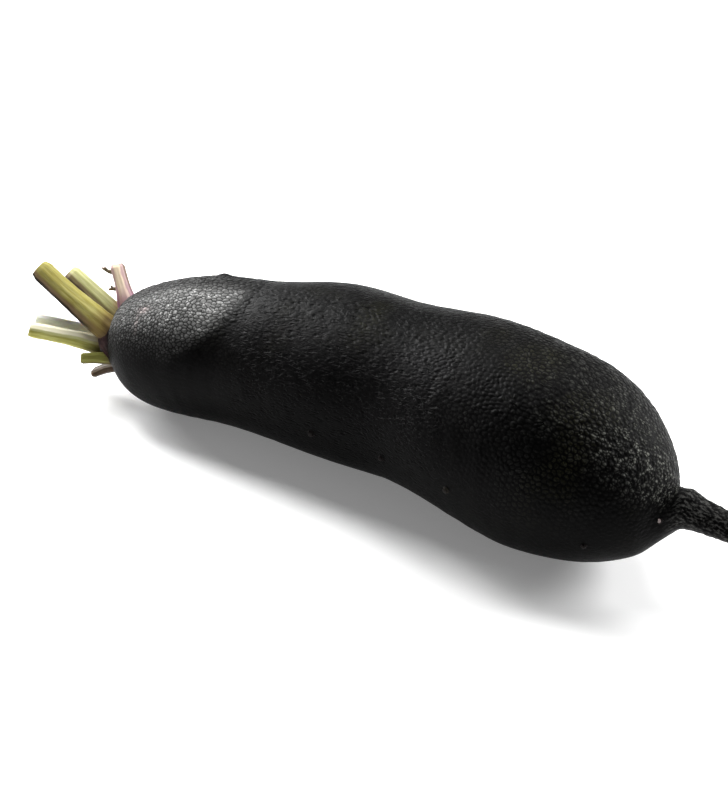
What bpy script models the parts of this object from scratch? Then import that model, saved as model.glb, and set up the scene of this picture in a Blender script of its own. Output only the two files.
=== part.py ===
"""A long black radish lying on its side, with the cut stumps of its leaf stalks.

Metres, +Z up. The crown points to -X and the taproot to +X. The radish lies on
the surface z = 0, and the origin is on that surface, under the middle of the
whole thing's box. The root is one grown piece: body, neck, taproot and the
broken stubs of its side roots. Each leaf stalk is a piece of its own.
"""

import math
import random

import bmesh
import bpy
from mathutils import Vector, noise

# The root's body, along its bent middle line from the crown to the taproot
BODY_LENGTH = 0.199
WIDEST_RADIUS = 0.0301

# Pairs of (share of the body's length, value) that a smooth curve runs through
GIRTH = ((0.0, 0.903), (0.12, 0.789), (0.26, 0.806), (0.40, 0.908), (0.55, 0.913),
         (0.70, 1.0), (0.85, 1.0), (1.0, 0.979))
HEADING_DEG = ((0.0, 20.0), (0.25, 5.8), (0.50, -4.2), (0.75, -13.0), (1.0, -7.0))
MIDDLE_HEIGHT = ((0.0, 0.0194), (0.25, 0.0240), (0.50, 0.0281), (0.80, 0.0296), (1.0, 0.0237))

# Both ends are rounded over a share of the length; 2 is a plain ellipse
CROWN_END_SHARE = 0.22
CROWN_END_POWER = 2.2
TAIL_END_SHARE = 0.22
TAIL_END_POWER = 2.0

# Relief of the skin: broad lumps, and cross wrinkles that come and go in patches
LUMP_SIZE = 0.028
LUMP_HEIGHT = 0.0009
WRINKLE_PITCH = 0.0085
WRINKLE_HEIGHT = 0.0003
WRINKLE_DRIFT = 4.8
WRINKLE_DRIFT_SIZE = 0.019
WRINKLE_PATCH_SIZE = 0.012
WRINKLE_PATCH_BIAS = 0.35

# The neck: a low dark stump on the crown, leaning up the way its leaves grow
NECK_HEIGHT = 0.0038
NECK_TOP_RADIUS = 0.0045
NECK_FOOT_RADIUS = 0.0090
NECK_LEAN_DEG = 25.0

# The taproot
TAPROOT_LENGTH = 0.066
TAPROOT_SUNK = 0.010
TAPROOT_RAISED = 0.0024
TAPROOT_SET_BACK = 0.0026
TAPROOT_RADIUS = ((0.0, 0.0085), (0.13, 0.0062), (0.20, 0.0050), (0.32, 0.0043), (0.55, 0.0033),
                  (0.80, 0.0021), (1.0, 0.0012))
TAPROOT_RIBS = 3
TAPROOT_RIB_DEPTH = 0.05
TAPROOT_RIB_TWIST = 5.0
TAPROOT_HEADING_DEG = ((0.0, -7.0), (0.35, -6.0), (0.7, 2.0), (1.0, 9.0))
TAPROOT_DROOP_DEG = ((0.0, -2.0), (0.35, 2.0), (0.7, 12.0), (1.0, 20.0))

# Broken side roots: how many, and their size
SIDE_ROOTS = 7
SIDE_ROOT_RADIUS = 0.0010
SIDE_ROOT_STANDS_OUT = 0.0009
SIDE_ROOT_SUNK = 0.0025
SIDE_ROOT_SPAN = (0.40, 0.96)
SIDE_ROOT_ROW_DEG = -14.0
SIDE_ROOT_SCATTER_DEG = 9.0
SIDE_ROOT_SIZES = (0.8, 1.25)
SIDE_ROOT_FOOT = 1.25
SIDE_ROOT_TIP = 0.75
SEED = 11

# Room between the root and each stalk
GAP = 0.0003

# How fine the meshes are; rings crowd towards the poles above a power of 1
BODY_AROUND = 60
BODY_END_RINGS = 16
BODY_MIDDLE_RINGS = 35
RING_CROWDING = 1.2
TAPROOT_AROUND = 20
TAPROOT_RINGS = 20
STALK_AROUND = 14
STALK_RINGS = 9
SIDE_ROOT_AROUND = 8
LEAFLET_AROUND = 6
MERGE = 1e-6

MM = 0.001

# Colour and roughness of the root's skin and of the stalks
ROOT_COLOUR = (0.014, 0.013, 0.012)
ROOT_ROUGHNESS = 0.5
STALK_ROUGHNESS = 0.45
SHARP_ANGLE_DEG = 50.0

# Leaf stalks. Base and tip are (out of the crown, away to the back, up) in
# millimetres from the crown's end point; width and thickness are at mid length;
# the bow is how far the middle bends upward; turn is where the channel faces.
STALKS = {
    "stalk_large": {"base": (-3.2, -1.1, 2.9), "tip": (24.9, 6.5, 22.1), "width": 7.4, "thick": 6.8,
                    "bow": -0.6, "turn": 190.0, "colour": (0.24, 0.27, 0.06)},
    "stalk_green": {"base": (-2.0, 7.7, 0.7), "tip": (17.8, 13.9, 16.7), "width": 5.4, "thick": 5.4,
                    "bow": -0.4, "turn": 200.0, "colour": (0.35, 0.42, 0.10)},
    "stalk_purple": {"base": (-4.0, 8.5, 4.6), "tip": (2.2, 17.2, 19.2), "width": 4.2, "thick": 3.4,
                     "bow": 0.6, "turn": 160.0, "colour": (0.33, 0.12, 0.20)},
    "stalk_pale": {"base": (-2.0, -0.2, -2.6), "tip": (25.7, -5.7, 5.7), "width": 5.2, "thick": 4.2,
                   "bow": 0.6, "turn": -90.0, "colour": (0.42, 0.47, 0.16)},
    "stalk_thin": {"base": (-1.0, 5.3, -2.9), "tip": (25.0, -0.9, 7.3), "width": 3.4, "thick": 2.8,
                   "bow": 0.9, "turn": -100.0, "colour": (0.46, 0.36, 0.26)},
    "stalk_stub": {"base": (-2.6, -3.9, -2.8), "tip": (8.2, -8.0, -1.6), "width": 4.4, "thick": 3.2,
                   "bow": 0.2, "turn": -45.0, "colour": (0.40, 0.45, 0.12)},
    "stalk_back": {"base": (-3.0, 8.0, -6.5), "tip": (11.0, 14.0, -10.0), "width": 5.4, "thick": 4.2,
                   "bow": 0.8, "turn": 90.0, "colour": (0.34, 0.36, 0.10)},
    "stalk_low": {"base": (-3.5, 1.0, -8.0), "tip": (8.0, 1.5, -13.0), "width": 4.6, "thick": 3.4,
                  "bow": 0.4, "turn": 0.0, "colour": (0.30, 0.14, 0.18)},
}
BASE_SPREAD = 0.20
BASE_SPREAD_ENDS = (0.1, 0.75)
CHANNEL_DEPTH = 0.34
CHANNEL_POWER = 4

# Leaflet remains on the purple stalk: share of its length, spur length, rise
LEAFLETS = ((0.55, 0.0042, 0.0010), (0.85, 0.0050, 0.0018))
LEAFLET_BEND = 0.6
LEAFLET_FOOT_RADIUS = 0.0011
LEAFLET_TIP_RADIUS = 0.0005


def read_curve(points, share):
    """Value at a share of the way along a smooth curve through (share, value) points."""
    last = len(points) - 1
    here = max([k for k in range(last) if points[k][0] <= share] or [0])
    (s0, v0), (s1, v1) = points[here], points[here + 1]
    before, after = points[max(here - 1, 0)], points[min(here + 2, last)]
    slope0 = (v1 - before[1]) / (s1 - before[0])
    slope1 = (after[1] - v0) / (after[0] - s0)
    span = s1 - s0
    t = (share - s0) / span
    return ((2 * t**3 - 3 * t**2 + 1) * v0 + (t**3 - 2 * t**2 + t) * span * slope0
            + (3 * t**2 - 2 * t**3) * v1 + (t**3 - t**2) * span * slope1)


def step_down(low, high, value):
    """1 below low, 0 above high and a soft ramp between them."""
    t = min(max((value - low) / (high - low), 0.0), 1.0)
    return 1.0 - t * t * (3.0 - 2.0 * t)


class BodyLine:
    """The bent middle line of the body, and the directions across it."""

    STEPS = 240

    def __init__(self):
        step = 1.0 / self.STEPS
        self.points = [Vector((0.0, 0.0, read_curve(MIDDLE_HEIGHT, 0.0)))]
        for k in range(self.STEPS):
            heading = math.radians(read_curve(HEADING_DEG, (k + 0.5) * step))
            place = self.points[-1] + BODY_LENGTH * step * Vector((math.cos(heading), math.sin(heading), 0))
            place.z = read_curve(MIDDLE_HEIGHT, (k + 1) * step)
            self.points.append(place)

    def at(self, share):
        """Point on the line, the way along it, and two directions across it (side and up)."""
        k = min(int(share * self.STEPS), self.STEPS - 1)
        start, end = self.points[k], self.points[k + 1]
        along = (end - start).normalized()
        side = along.cross(Vector((0, 0, 1))).normalized()
        return start.lerp(end, share * self.STEPS - k), along, side, side.cross(along)


LINE = BodyLine()


def level_way(share):
    """The level direction along the body at a share of its length."""
    along = LINE.at(share)[1]
    return Vector((along.x, along.y, 0)).normalized()


def rounding(share):
    """How far both ends have closed at a share of the length: 1 in the middle, 0 at the poles."""
    crown = max(1.0 - share / CROWN_END_SHARE, 0.0)
    tail = max(1.0 - (1.0 - share) / TAIL_END_SHARE, 0.0)
    return ((1.0 - crown**CROWN_END_POWER) ** (1.0 / CROWN_END_POWER)
            * (1.0 - tail**TAIL_END_POWER) ** (1.0 / TAIL_END_POWER))


def body_point(share, angle):
    """Point of the body's skin at a share of its length and an angle round it (90 degrees is up)."""
    middle, along, side, up = LINE.at(share)
    close = rounding(share)
    outward = math.cos(angle) * side + math.sin(angle) * up
    radius = WIDEST_RADIUS * read_curve(GIRTH, share) * close
    plain = middle + radius * outward
    lumps = LUMP_HEIGHT * noise.noise(plain / LUMP_SIZE)
    drift = WRINKLE_DRIFT * noise.noise(plain / WRINKLE_DRIFT_SIZE)
    strength = max(noise.noise(plain / WRINKLE_PATCH_SIZE) + WRINKLE_PATCH_BIAS, 0.0)
    turn = 2 * math.pi * share * BODY_LENGTH / WRINKLE_PITCH
    wrinkles = WRINKLE_HEIGHT * strength * math.sin(turn + drift)
    point = plain + close * (lumps + wrinkles) * outward + neck_lift(share, radius)
    point.z = max(point.z, 0.0)
    return point


def neck_lift(share, radius):
    """How far the neck moves the crown's skin out, at a radius round the crown's end point."""
    lean = math.radians(NECK_LEAN_DEG)
    way = -math.cos(lean) * level_way(0.0) + math.sin(lean) * Vector((0, 0, 1))
    on_crown = share < CROWN_END_SHARE
    return on_crown * NECK_HEIGHT * step_down(NECK_TOP_RADIUS, NECK_FOOT_RADIUS, radius) * way


def body_shares():
    """Shares of the length at which the body's rings stand, closer together at the round ends."""
    turns = [0.5 * math.pi * (k / BODY_END_RINGS) ** RING_CROWDING for k in range(BODY_END_RINGS)]
    ends = [1.0 - math.cos(turn) for turn in turns]
    crown = [CROWN_END_SHARE * value for value in ends]
    tail = [1.0 - TAIL_END_SHARE * value for value in reversed(ends)]
    room = 1.0 - CROWN_END_SHARE - TAIL_END_SHARE
    middle = [CROWN_END_SHARE + room * k / BODY_MIDDLE_RINGS for k in range(BODY_MIDDLE_RINGS + 1)]
    return crown + middle + tail


def wrapped_mesh(name, around, shares, place):
    """Closed tube: a grid wrapped round by place(share, angle), its seam and ends merged."""
    bm = bmesh.new()
    rings = len(shares) - 1
    bmesh.ops.create_grid(bm, x_segments=around, y_segments=rings, size=1.0)
    for vert in bm.verts:
        turn = round((vert.co.x + 1.0) / 2.0 * around) % around
        ring = round((vert.co.y + 1.0) / 2.0 * rings)
        vert.co = place(shares[ring], 2.0 * math.pi * turn / around)
    bmesh.ops.remove_doubles(bm, verts=bm.verts, dist=MERGE)
    bmesh.ops.recalc_face_normals(bm, faces=bm.faces)
    mesh = bpy.data.meshes.new(name)
    bm.to_mesh(mesh)
    bm.free()
    return mesh


def add_object(name, mesh):
    """Put a mesh in the scene as an object of its own."""
    piece = bpy.data.objects.new(name, mesh)
    bpy.context.scene.collection.objects.link(piece)
    return piece


def taproot_path():
    """Points down the middle of the taproot, from inside the body to the broken tip."""
    middle, along, side, up = LINE.at(1.0)
    points = [middle - TAPROOT_SUNK * along + TAPROOT_RAISED * up - TAPROOT_SET_BACK * side]
    whole = TAPROOT_LENGTH + TAPROOT_SUNK
    for k in range(TAPROOT_RINGS):
        share = (k + 0.5) / TAPROOT_RINGS
        heading = math.radians(read_curve(TAPROOT_HEADING_DEG, share))
        droop = math.radians(read_curve(TAPROOT_DROOP_DEG, share))
        level = Vector((math.cos(heading), math.sin(heading), 0))
        way = math.cos(droop) * level - math.sin(droop) * Vector((0, 0, 1))
        points.append(points[-1] + whole / TAPROOT_RINGS * way)
    return points


def tube_along(name, points, around, radius_at):
    """Closed tube of the given radius along a list of points, with flat ends."""
    last = len(points) - 1
    shares = [-1.0] + [k / last for k in range(last + 1)] + [2.0]

    def place(share, angle):
        inside = min(max(share, 0.0), 1.0)
        k = round(inside * last)
        along = (points[min(k + 1, last)] - points[max(k - 1, 0)]).normalized()
        side = along.cross(Vector((0, 0, 1))).normalized()
        outward = math.cos(angle) * side + math.sin(angle) * side.cross(along)
        return points[k] + (radius_at(inside, angle) if share == inside else 0.0) * outward

    return wrapped_mesh(name, around, shares, place)


def tapered(foot, tip):
    """Radius of a plain tapered tube at a share of its length, for tube_along."""
    return lambda share, angle: foot + (tip - foot) * share


def taproot_radius(share, angle):
    """Radius of the taproot, with a few soft ribs along it."""
    ribs = TAPROOT_RIB_DEPTH * math.sin(TAPROOT_RIBS * angle + TAPROOT_RIB_TWIST * share)
    return read_curve(TAPROOT_RADIUS, share) * (1.0 + ribs)


def side_root_stubs():
    """Broken side roots: short blunt pegs in two rows, one down each flank of the body."""
    draw = random.Random(SEED)
    stubs = []
    first, last = SIDE_ROOT_SPAN
    for k in range(SIDE_ROOTS):
        share = first + (last - first) * (k + draw.random()) / SIDE_ROOTS
        scatter = draw.uniform(-SIDE_ROOT_SCATTER_DEG, SIDE_ROOT_SCATTER_DEG)
        angle = math.radians(180.0 * (k % 2) + SIDE_ROOT_ROW_DEG + scatter)
        foot = body_point(share, angle)
        outward = (foot - LINE.at(share)[0]).normalized()
        points = [foot - SIDE_ROOT_SUNK * outward, foot, foot + SIDE_ROOT_STANDS_OUT * outward]
        size = SIDE_ROOT_RADIUS * draw.uniform(*SIDE_ROOT_SIZES)
        taper = tapered(SIDE_ROOT_FOOT * size, SIDE_ROOT_TIP * size)
        stubs.append(tube_along("side_root", points, SIDE_ROOT_AROUND, taper))
    return stubs


def fuse(base, meshes):
    """Join meshes into an object as one skin, by one Boolean union on a collection."""
    group = bpy.data.collections.new(base.name + "_parts")
    for mesh in meshes:
        group.objects.link(bpy.data.objects.new(base.name + "_part", mesh))
    union = base.modifiers.new("union", "BOOLEAN")
    union.operation = "UNION"
    union.operand_type = "COLLECTION"
    union.collection = group
    union.solver = "EXACT"
    joined = bpy.data.meshes.new_from_object(base.evaluated_get(bpy.context.evaluated_depsgraph_get()))
    base.modifiers.remove(union)
    base.data = joined
    for piece in list(group.objects):
        bpy.data.objects.remove(piece)
    bpy.data.collections.remove(group)


def build_root():
    """The root: body with its neck, taproot and side root stubs, in one piece."""
    root = add_object("root", wrapped_mesh("root", BODY_AROUND, body_shares(), body_point))
    taproot = tube_along("taproot", taproot_path(), TAPROOT_AROUND, taproot_radius)
    fuse(root, [taproot] + side_root_stubs())
    return root


def clearance_of(root):
    """Guide that the stalks are cut with: the root's skin moved out by the gap."""
    guide = add_object("root_clearance", root.data.copy())
    bm = bmesh.new()
    bm.from_mesh(guide.data)
    bm.normal_update()
    for vert in bm.verts:
        vert.co += GAP * vert.normal
    bm.to_mesh(guide.data)
    bm.free()
    guide.hide_render = True
    guide.display_type = "WIRE"
    return guide


def crown_place(values):
    """World point of (out, back, up) in millimetres from the crown's end point."""
    middle, along, side, up = LINE.at(0.0)
    out, back, rise = (MM * value for value in values)
    return middle - out * level_way(0.0) - back * side + rise * Vector((0, 0, 1))


def stalk_section(stalk, share, angle):
    """Distance from a stalk's middle to its skin: round outside, with a channel on one side."""
    wide = 0.5 * MM * stalk["width"]
    thick = 0.5 * MM * stalk["thick"]
    oval = wide * thick / math.hypot(thick * math.cos(angle), wide * math.sin(angle))
    facing = 0.5 + 0.5 * math.cos(angle - 0.5 * math.pi)
    channel = 1.0 - CHANNEL_DEPTH * facing**CHANNEL_POWER
    spread = 1.0 + BASE_SPREAD * step_down(*BASE_SPREAD_ENDS, share)
    return oval * channel * spread


def stalk_mesh(name, stalk):
    """One leaf stalk: a channelled stem from inside the crown to its cut end."""
    base, tip = crown_place(stalk["base"]), crown_place(stalk["tip"])
    bow = MM * stalk["bow"]
    way = (tip - base).normalized()
    side = way.cross(Vector((0, 0, 1))).normalized()
    up = side.cross(way)
    turn = math.radians(stalk["turn"])

    def place(share, angle):
        inside = min(max(share, 0.0), 1.0)
        middle = base.lerp(tip, inside) + bow * math.sin(math.pi * inside) * up
        size = stalk_section(stalk, inside, angle) if share == inside else 0.0
        return middle + size * (math.cos(angle + turn) * side + math.sin(angle + turn) * up)

    shares = [-1.0] + [k / STALK_RINGS for k in range(STALK_RINGS + 1)] + [2.0]
    return wrapped_mesh(name, STALK_AROUND, shares, place)


def leaflet_meshes(stalk):
    """Remains of two small leaflets on the purple stalk, as short tapered spurs."""
    base, tip = crown_place(stalk["base"]), crown_place(stalk["tip"])
    out = -level_way(0.0)
    taper = tapered(LEAFLET_FOOT_RADIUS, LEAFLET_TIP_RADIUS)
    spurs = []
    for share, length, rise in LEAFLETS:
        foot = base.lerp(tip, share)
        points = [foot, foot + LEAFLET_BEND * length * out, foot + length * out + Vector((0, 0, rise))]
        spurs.append(tube_along("leaflet", points, LEAFLET_AROUND, taper))
    return spurs


def build_stalk(name, stalk, guide):
    """One stalk's object, its foot cut to the crown with the gap kept."""
    piece = add_object(name, stalk_mesh(name, stalk))
    if name == "stalk_purple":
        fuse(piece, leaflet_meshes(stalk))
    cut = piece.modifiers.new("foot", "BOOLEAN")
    cut.operation = "DIFFERENCE"
    cut.object = guide
    cut.solver = "EXACT"
    return piece


def paint(piece, colour, roughness):
    """Give an object a matt material of its own and smooth shading."""
    material = bpy.data.materials.new(piece.name + "_skin")
    material.use_nodes = True
    shader = material.node_tree.nodes["Principled BSDF"]
    shader.inputs["Base Color"].default_value = (*colour, 1.0)
    shader.inputs["Roughness"].default_value = roughness
    shader.inputs["Metallic"].default_value = 0.0
    piece.data.materials.clear()
    piece.data.materials.append(material)
    piece.data.shade_smooth()
    piece.data.set_sharp_from_angle(angle=math.radians(SHARP_ANGLE_DEG))


def stand_on_origin(pieces):
    """Move everything so that the middle of the pieces' box is over the origin."""
    scene = bpy.context.evaluated_depsgraph_get()
    corners = []
    for piece in pieces:
        mesh = piece.evaluated_get(scene).to_mesh()
        corners += [piece.matrix_world @ vert.co for vert in mesh.vertices]
    middle = [0.5 * (min(c[axis] for c in corners) + max(c[axis] for c in corners)) for axis in (0, 1)]
    for thing in bpy.context.scene.objects:
        thing.location = Vector((-middle[0], -middle[1], 0.0))


def main():
    """Build the radish."""
    for thing in list(bpy.data.objects):
        bpy.data.objects.remove(thing)
    root = build_root()
    paint(root, ROOT_COLOUR, ROOT_ROUGHNESS)
    guide = clearance_of(root)
    stalks = []
    for name, stalk in STALKS.items():
        stalks.append(build_stalk(name, stalk, guide))
        paint(stalks[-1], stalk["colour"], STALK_ROUGHNESS)
    stand_on_origin([root] + stalks)


main()
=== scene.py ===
"""Looks of a long black radish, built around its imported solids.

The whole radish lies on a pale floor, crown to -X and taproot to +X. The root gets
its pebbled black skin, neck, taproot and broken side roots; each leaf stalk gets its
ribs, channel, foot and cut end. The root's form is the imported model's own, worked
out again from the same driving sizes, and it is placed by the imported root's box.
Metres throughout, unless a name says millimetres or degrees.
"""

import logging
import math
import random
from dataclasses import dataclass, field
from enum import Enum
from functools import cached_property
from typing import Callable, Sequence

import bmesh
import bpy
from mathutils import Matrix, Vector, noise


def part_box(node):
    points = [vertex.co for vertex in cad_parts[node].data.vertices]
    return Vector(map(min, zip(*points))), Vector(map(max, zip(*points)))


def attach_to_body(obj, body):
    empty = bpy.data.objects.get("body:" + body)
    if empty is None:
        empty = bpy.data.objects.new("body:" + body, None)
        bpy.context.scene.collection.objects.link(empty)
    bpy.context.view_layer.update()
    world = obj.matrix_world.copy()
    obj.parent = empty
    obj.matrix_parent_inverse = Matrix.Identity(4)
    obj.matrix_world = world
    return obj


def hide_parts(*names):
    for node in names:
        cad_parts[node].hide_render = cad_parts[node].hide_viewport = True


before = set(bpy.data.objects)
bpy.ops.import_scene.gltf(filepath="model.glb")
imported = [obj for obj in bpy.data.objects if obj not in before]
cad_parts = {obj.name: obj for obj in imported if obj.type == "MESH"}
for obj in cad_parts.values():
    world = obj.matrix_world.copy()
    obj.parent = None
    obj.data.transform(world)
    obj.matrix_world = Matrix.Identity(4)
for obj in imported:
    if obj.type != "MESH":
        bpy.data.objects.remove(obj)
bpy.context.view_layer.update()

ROOT_BODY = "root"
MM = 0.001
UP = Vector((0.0, 0.0, 1.0))
BACK_LAMP_WAY = Vector((-0.50, 0.86, 0.0))
FULL_TURN = 2.0 * math.pi

# Attributes that the meshes carry for their materials
STRAIGHT = "straight"    # place on the piece with its bend taken out
GRAIN_AND_SHADE = "grain"          # 0 in the creases between pebbles, 1 on their tops; it paints shade in the creases, and on the tops down the front and in the waist
TONE = "tone"            # a pebble's random value, or a share of a stalk's length
DUST_AND_SHEEN = "dust_and_sheen"            # how grey a pebble's top is: partly the skin's own dusting, partly a painted highlight
CUT = "cut"              # 1 on a cut or broken face
FLANK = "flank"          # how far a stalk's skin faces its painted flank: shade on some stalks, a highlight on others, darker colours underneath on the rest
LAMP_SIDE_DARKENING = "lamp_side_darkening"          # 1 on a stalk's side that faces the lamps behind it, where its colour is painted darker to hold back their light
BAKE_MAP = "OFBake"      # map that the skin unrolls on

Colour = tuple[float, float, float]
Triple = tuple[float, float, float]
Ramp = tuple[float, float]
Axes = tuple[Vector, Vector, Vector, Vector]
Outline = list[tuple[float, float]]
Object, Material, Socket = bpy.types.Object, bpy.types.Material, bpy.types.NodeSocket
BMesh, BMVert, BMEdge = bmesh.types.BMesh, bmesh.types.BMVert, bmesh.types.BMEdge
BMLayer = bmesh.types.BMLayerItem
Ring = Sequence[BMVert]
log = logging.getLogger("radish")


class Slot(Enum):
    """The material slots."""

    SKIN = "black_skin"
    OLIVE = "stalk_olive"
    GREEN = "stalk_green"
    PURPLE = "stalk_purple"
    PALE = "stalk_pale"


def soft_step(low: float, high: float, value: float) -> float:
    """A soft ramp: 0 below low and 1 above high.

    Args:
        low: Where the ramp starts.
        high: Where the ramp ends.
        value: The value to place on it.

    Returns:
        A number from 0 to 1.
    """
    t = min(max((value - low) / (high - low), 0.0), 1.0)
    return t * t * (3.0 - 2.0 * t)


def hill(distance: float, width: float) -> float:
    """Height of a round hill 1 high, at a distance from its top."""
    return math.exp(-((distance / width) ** 2))


def level_way(way: Vector) -> Vector:
    """The level part of a direction."""
    return Vector((way.x, way.y, 0.0)).normalized()


def way_to(turn_deg: float, rise_deg: float = 0.0) -> Vector:
    """A direction.

    Args:
        turn_deg: How far it turns from +X towards +Y.
        rise_deg: How steeply it rises.

    Returns:
        The direction.
    """
    turn, rise = math.radians(turn_deg), math.radians(rise_deg)
    flat = math.cos(rise)
    return Vector((math.cos(turn) * flat, math.sin(turn) * flat, math.sin(rise)))


def smooth_weights(t: float) -> tuple[float, float, float, float]:
    """Weights of a smooth curve's start, leaving slope, end and arriving slope at t of its way."""
    return 2 * t**3 - 3 * t**2 + 1, t**3 - 2 * t**2 + t, 3 * t**2 - 2 * t**3, t**3 - t**2


@dataclass(frozen=True)
class Curve:
    """A smooth curve through (share, value) points."""

    points: tuple[tuple[float, float], ...]

    def at(self, share: float) -> float:
        """Read the curve.

        Args:
            share: Where to read it; past its ends the end value holds.

        Returns:
            The curve's value there.
        """
        points = self.points
        last = len(points) - 1
        share = min(max(share, points[0][0]), points[last][0])
        here = max([k for k in range(last) if points[k][0] <= share] or [0])
        (s0, v0), (s1, v1) = points[here], points[here + 1]
        before, after = points[max(here - 1, 0)], points[min(here + 2, last)]
        slope0 = (v1 - before[1]) / (s1 - before[0])
        slope1 = (after[1] - v0) / (after[0] - s0)
        span = s1 - s0
        start, leave, end, arrive = smooth_weights((share - s0) / span)
        return start * v0 + leave * span * slope0 + end * v1 + arrive * span * slope1


@dataclass(frozen=True)
class Pattern:
    """Noise or cells: the size of a feature, its stretch along Z, its detail and roughness.

    A stretch below 1 draws the features out.
    """

    size: float
    stretch: float = 1.0
    detail: float = 2.0
    rough: float = 0.5


def math_node(operation: str, swapped: bool = False) -> Callable[["Flow", "Flow | float"], "Flow"]:
    """Make a method of Flow that adds a Math node.

    Args:
        operation: The node's operation.
        swapped: Whether the other value comes before the flow.

    Returns:
        The method.
    """

    def method(self: "Flow", other: "Flow | float") -> "Flow":
        """This flow and another value, through the Math node."""
        values = (other, self) if swapped else (self, other)
        return self.recipe.node("ShaderNodeMath", {"operation": operation}, dict(enumerate(values)))

    return method


class Flow:
    """A shader socket that takes part in Python expressions."""

    __add__ = __radd__ = math_node("ADD")
    __mul__ = __rmul__ = math_node("MULTIPLY")
    __sub__ = math_node("SUBTRACT")
    __rsub__ = math_node("SUBTRACT", swapped=True)
    most = math_node("MAXIMUM")

    def __init__(self, recipe: "NodeWork", socket: Socket) -> None:
        """Wrap an output socket of a node tree."""
        self.recipe = recipe
        self.socket = socket

    def step(self, low: float, high: float) -> "Flow":
        """0 at low, 1 at high and a soft ramp between them; low may be the larger."""
        inputs = {0: self, 1: low, 2: high, 3: 0.0, 4: 1.0}
        return self.recipe.node("ShaderNodeMapRange", {"interpolation_type": "SMOOTHSTEP"}, inputs)


class NodeWork:
    """A node tree, and the ways to add to it."""

    def __init__(self, tree: bpy.types.NodeTree) -> None:
        """Work on a tree."""
        self.tree = tree

    def node(self, kind: str, settings: dict | None = None, inputs: dict | None = None,
             output: int | str = 0) -> Flow:
        """Add a node.

        Args:
            kind: The node's type.
            settings: Its properties, set before anything is linked.
            inputs: Values or flows for its sockets, by name or number.
            output: The output socket wanted.

        Returns:
            That output, as a flow.
        """
        made = self.tree.nodes.new(kind)
        for key, value in (settings or {}).items():
            setattr(made, key, value)
        for key, value in (inputs or {}).items():
            self.feed(made.inputs[key], value)
        return Flow(self, made.outputs[output])

    def feed(self, socket: Socket, value: "Flow | float | Sequence[float]") -> None:
        """Link a flow to a socket, or set the socket's own value.

        Args:
            socket: The input socket.
            value: The flow or the value.
        """
        if isinstance(value, Flow):
            self.tree.links.new(value.socket, socket)
        elif socket.type == "RGBA":
            socket.default_value = (*value, 1.0)
        else:
            socket.default_value = value

    def stretch(self, vector: Flow, along: float) -> Flow:
        """A place with its Z part multiplied."""
        inputs = {0: vector, 1: (1.0, 1.0, along)}
        return self.node("ShaderNodeVectorMath", {"operation": "MULTIPLY"}, inputs)

    def part(self, vector: Flow, axis: str) -> Flow:
        """The X, Y or Z part of a vector."""
        return self.node("ShaderNodeSeparateXYZ", inputs={0: vector}, output=axis)

    def distance(self, vector: Flow, point: Sequence[float]) -> Flow:
        """How far a place is from a point."""
        inputs = {0: vector, 1: point}
        return self.node("ShaderNodeVectorMath", {"operation": "DISTANCE"}, inputs, "Value")

    def noise(self, vector: Flow, pattern: Pattern) -> Flow:
        """Soft clouds.

        Args:
            vector: Where they are read.
            pattern: Their form.

        Returns:
            A number from 0 to 1.
        """
        inputs = {"Vector": self.stretch(vector, pattern.stretch), "Scale": 1.0 / pattern.size,
                  "Detail": pattern.detail, "Roughness": pattern.rough}
        return self.node("ShaderNodeTexNoise", inputs=inputs)

    def cells(self, vector: Flow, pattern: Pattern, output: str = "Distance") -> Flow:
        """Cells, by their Distance from the middle or their random Color."""
        inputs = {"Vector": self.stretch(vector, pattern.stretch), "Scale": 1.0 / pattern.size}
        return self.node("ShaderNodeTexVoronoi", inputs=inputs, output=output)

    def mix(self, factor: "Flow | float", first: "Flow | Colour", second: "Flow | Colour",
            mode: str = "MIX") -> Flow:
        """Mix two colours.

        Args:
            factor: 0 for the first colour, 1 for the second.
            first: The first colour.
            second: The second colour.
            mode: The Mix node's blend type.

        Returns:
            The mixed colour.
        """
        settings = {"data_type": "RGBA", "blend_type": mode}
        return self.node("ShaderNodeMix", settings, {0: factor, 6: first, 7: second}, 2)

    def coats(self, colour: "Flow | Colour", *coats: "tuple[Flow, Flow | Colour]") -> Flow:
        """Mix coats over a colour, one after the other.

        Args:
            colour: The colour under them.
            coats: How much each covers, from 0 to 1, and its colour.

        Returns:
            The mixed colour.
        """
        for factor, coat in coats:
            colour = self.mix(factor, colour, coat)
        return colour

    def bump(self, height: Flow, depth: float, strength: float, under: Flow | None = None) -> Flow:
        """A bumped normal.

        Args:
            height: The relief, from 0 to 1.
            depth: How deep the relief is.
            strength: How much of it shows.
            under: A bumped normal that this one is added to.

        Returns:
            The normal.
        """
        inputs = {"Height": height, "Distance": depth, "Strength": strength}
        if under is not None:
            inputs["Normal"] = under
        return self.node("ShaderNodeBump", inputs=inputs)


class Recipe(NodeWork):
    """The node tree of one material, and its Principled shader."""

    def __init__(self, name: str) -> None:
        """Start a material.

        Args:
            name: Its name.
        """
        self.material = bpy.data.materials.new(name)
        self.material.use_nodes = True
        super().__init__(self.material.node_tree)
        self.shader = self.tree.nodes["Principled BSDF"]

    def set(self, **values: "Flow | float | Sequence[float]") -> None:
        """Feed the Principled shader's sockets, named with _ for each space."""
        for key, value in values.items():
            self.feed(self.shader.inputs[key.replace("_", " ")], value)

    def attribute(self, name: str, output: str = "Fac") -> Flow:
        """One of the mesh's own attributes, as a number or a vector."""
        return self.node("ShaderNodeAttribute", {"attribute_name": name}, output=output)

    def place(self) -> Flow:
        """The place on the object."""
        return self.node("ShaderNodeTexCoord", output="Object")


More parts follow.
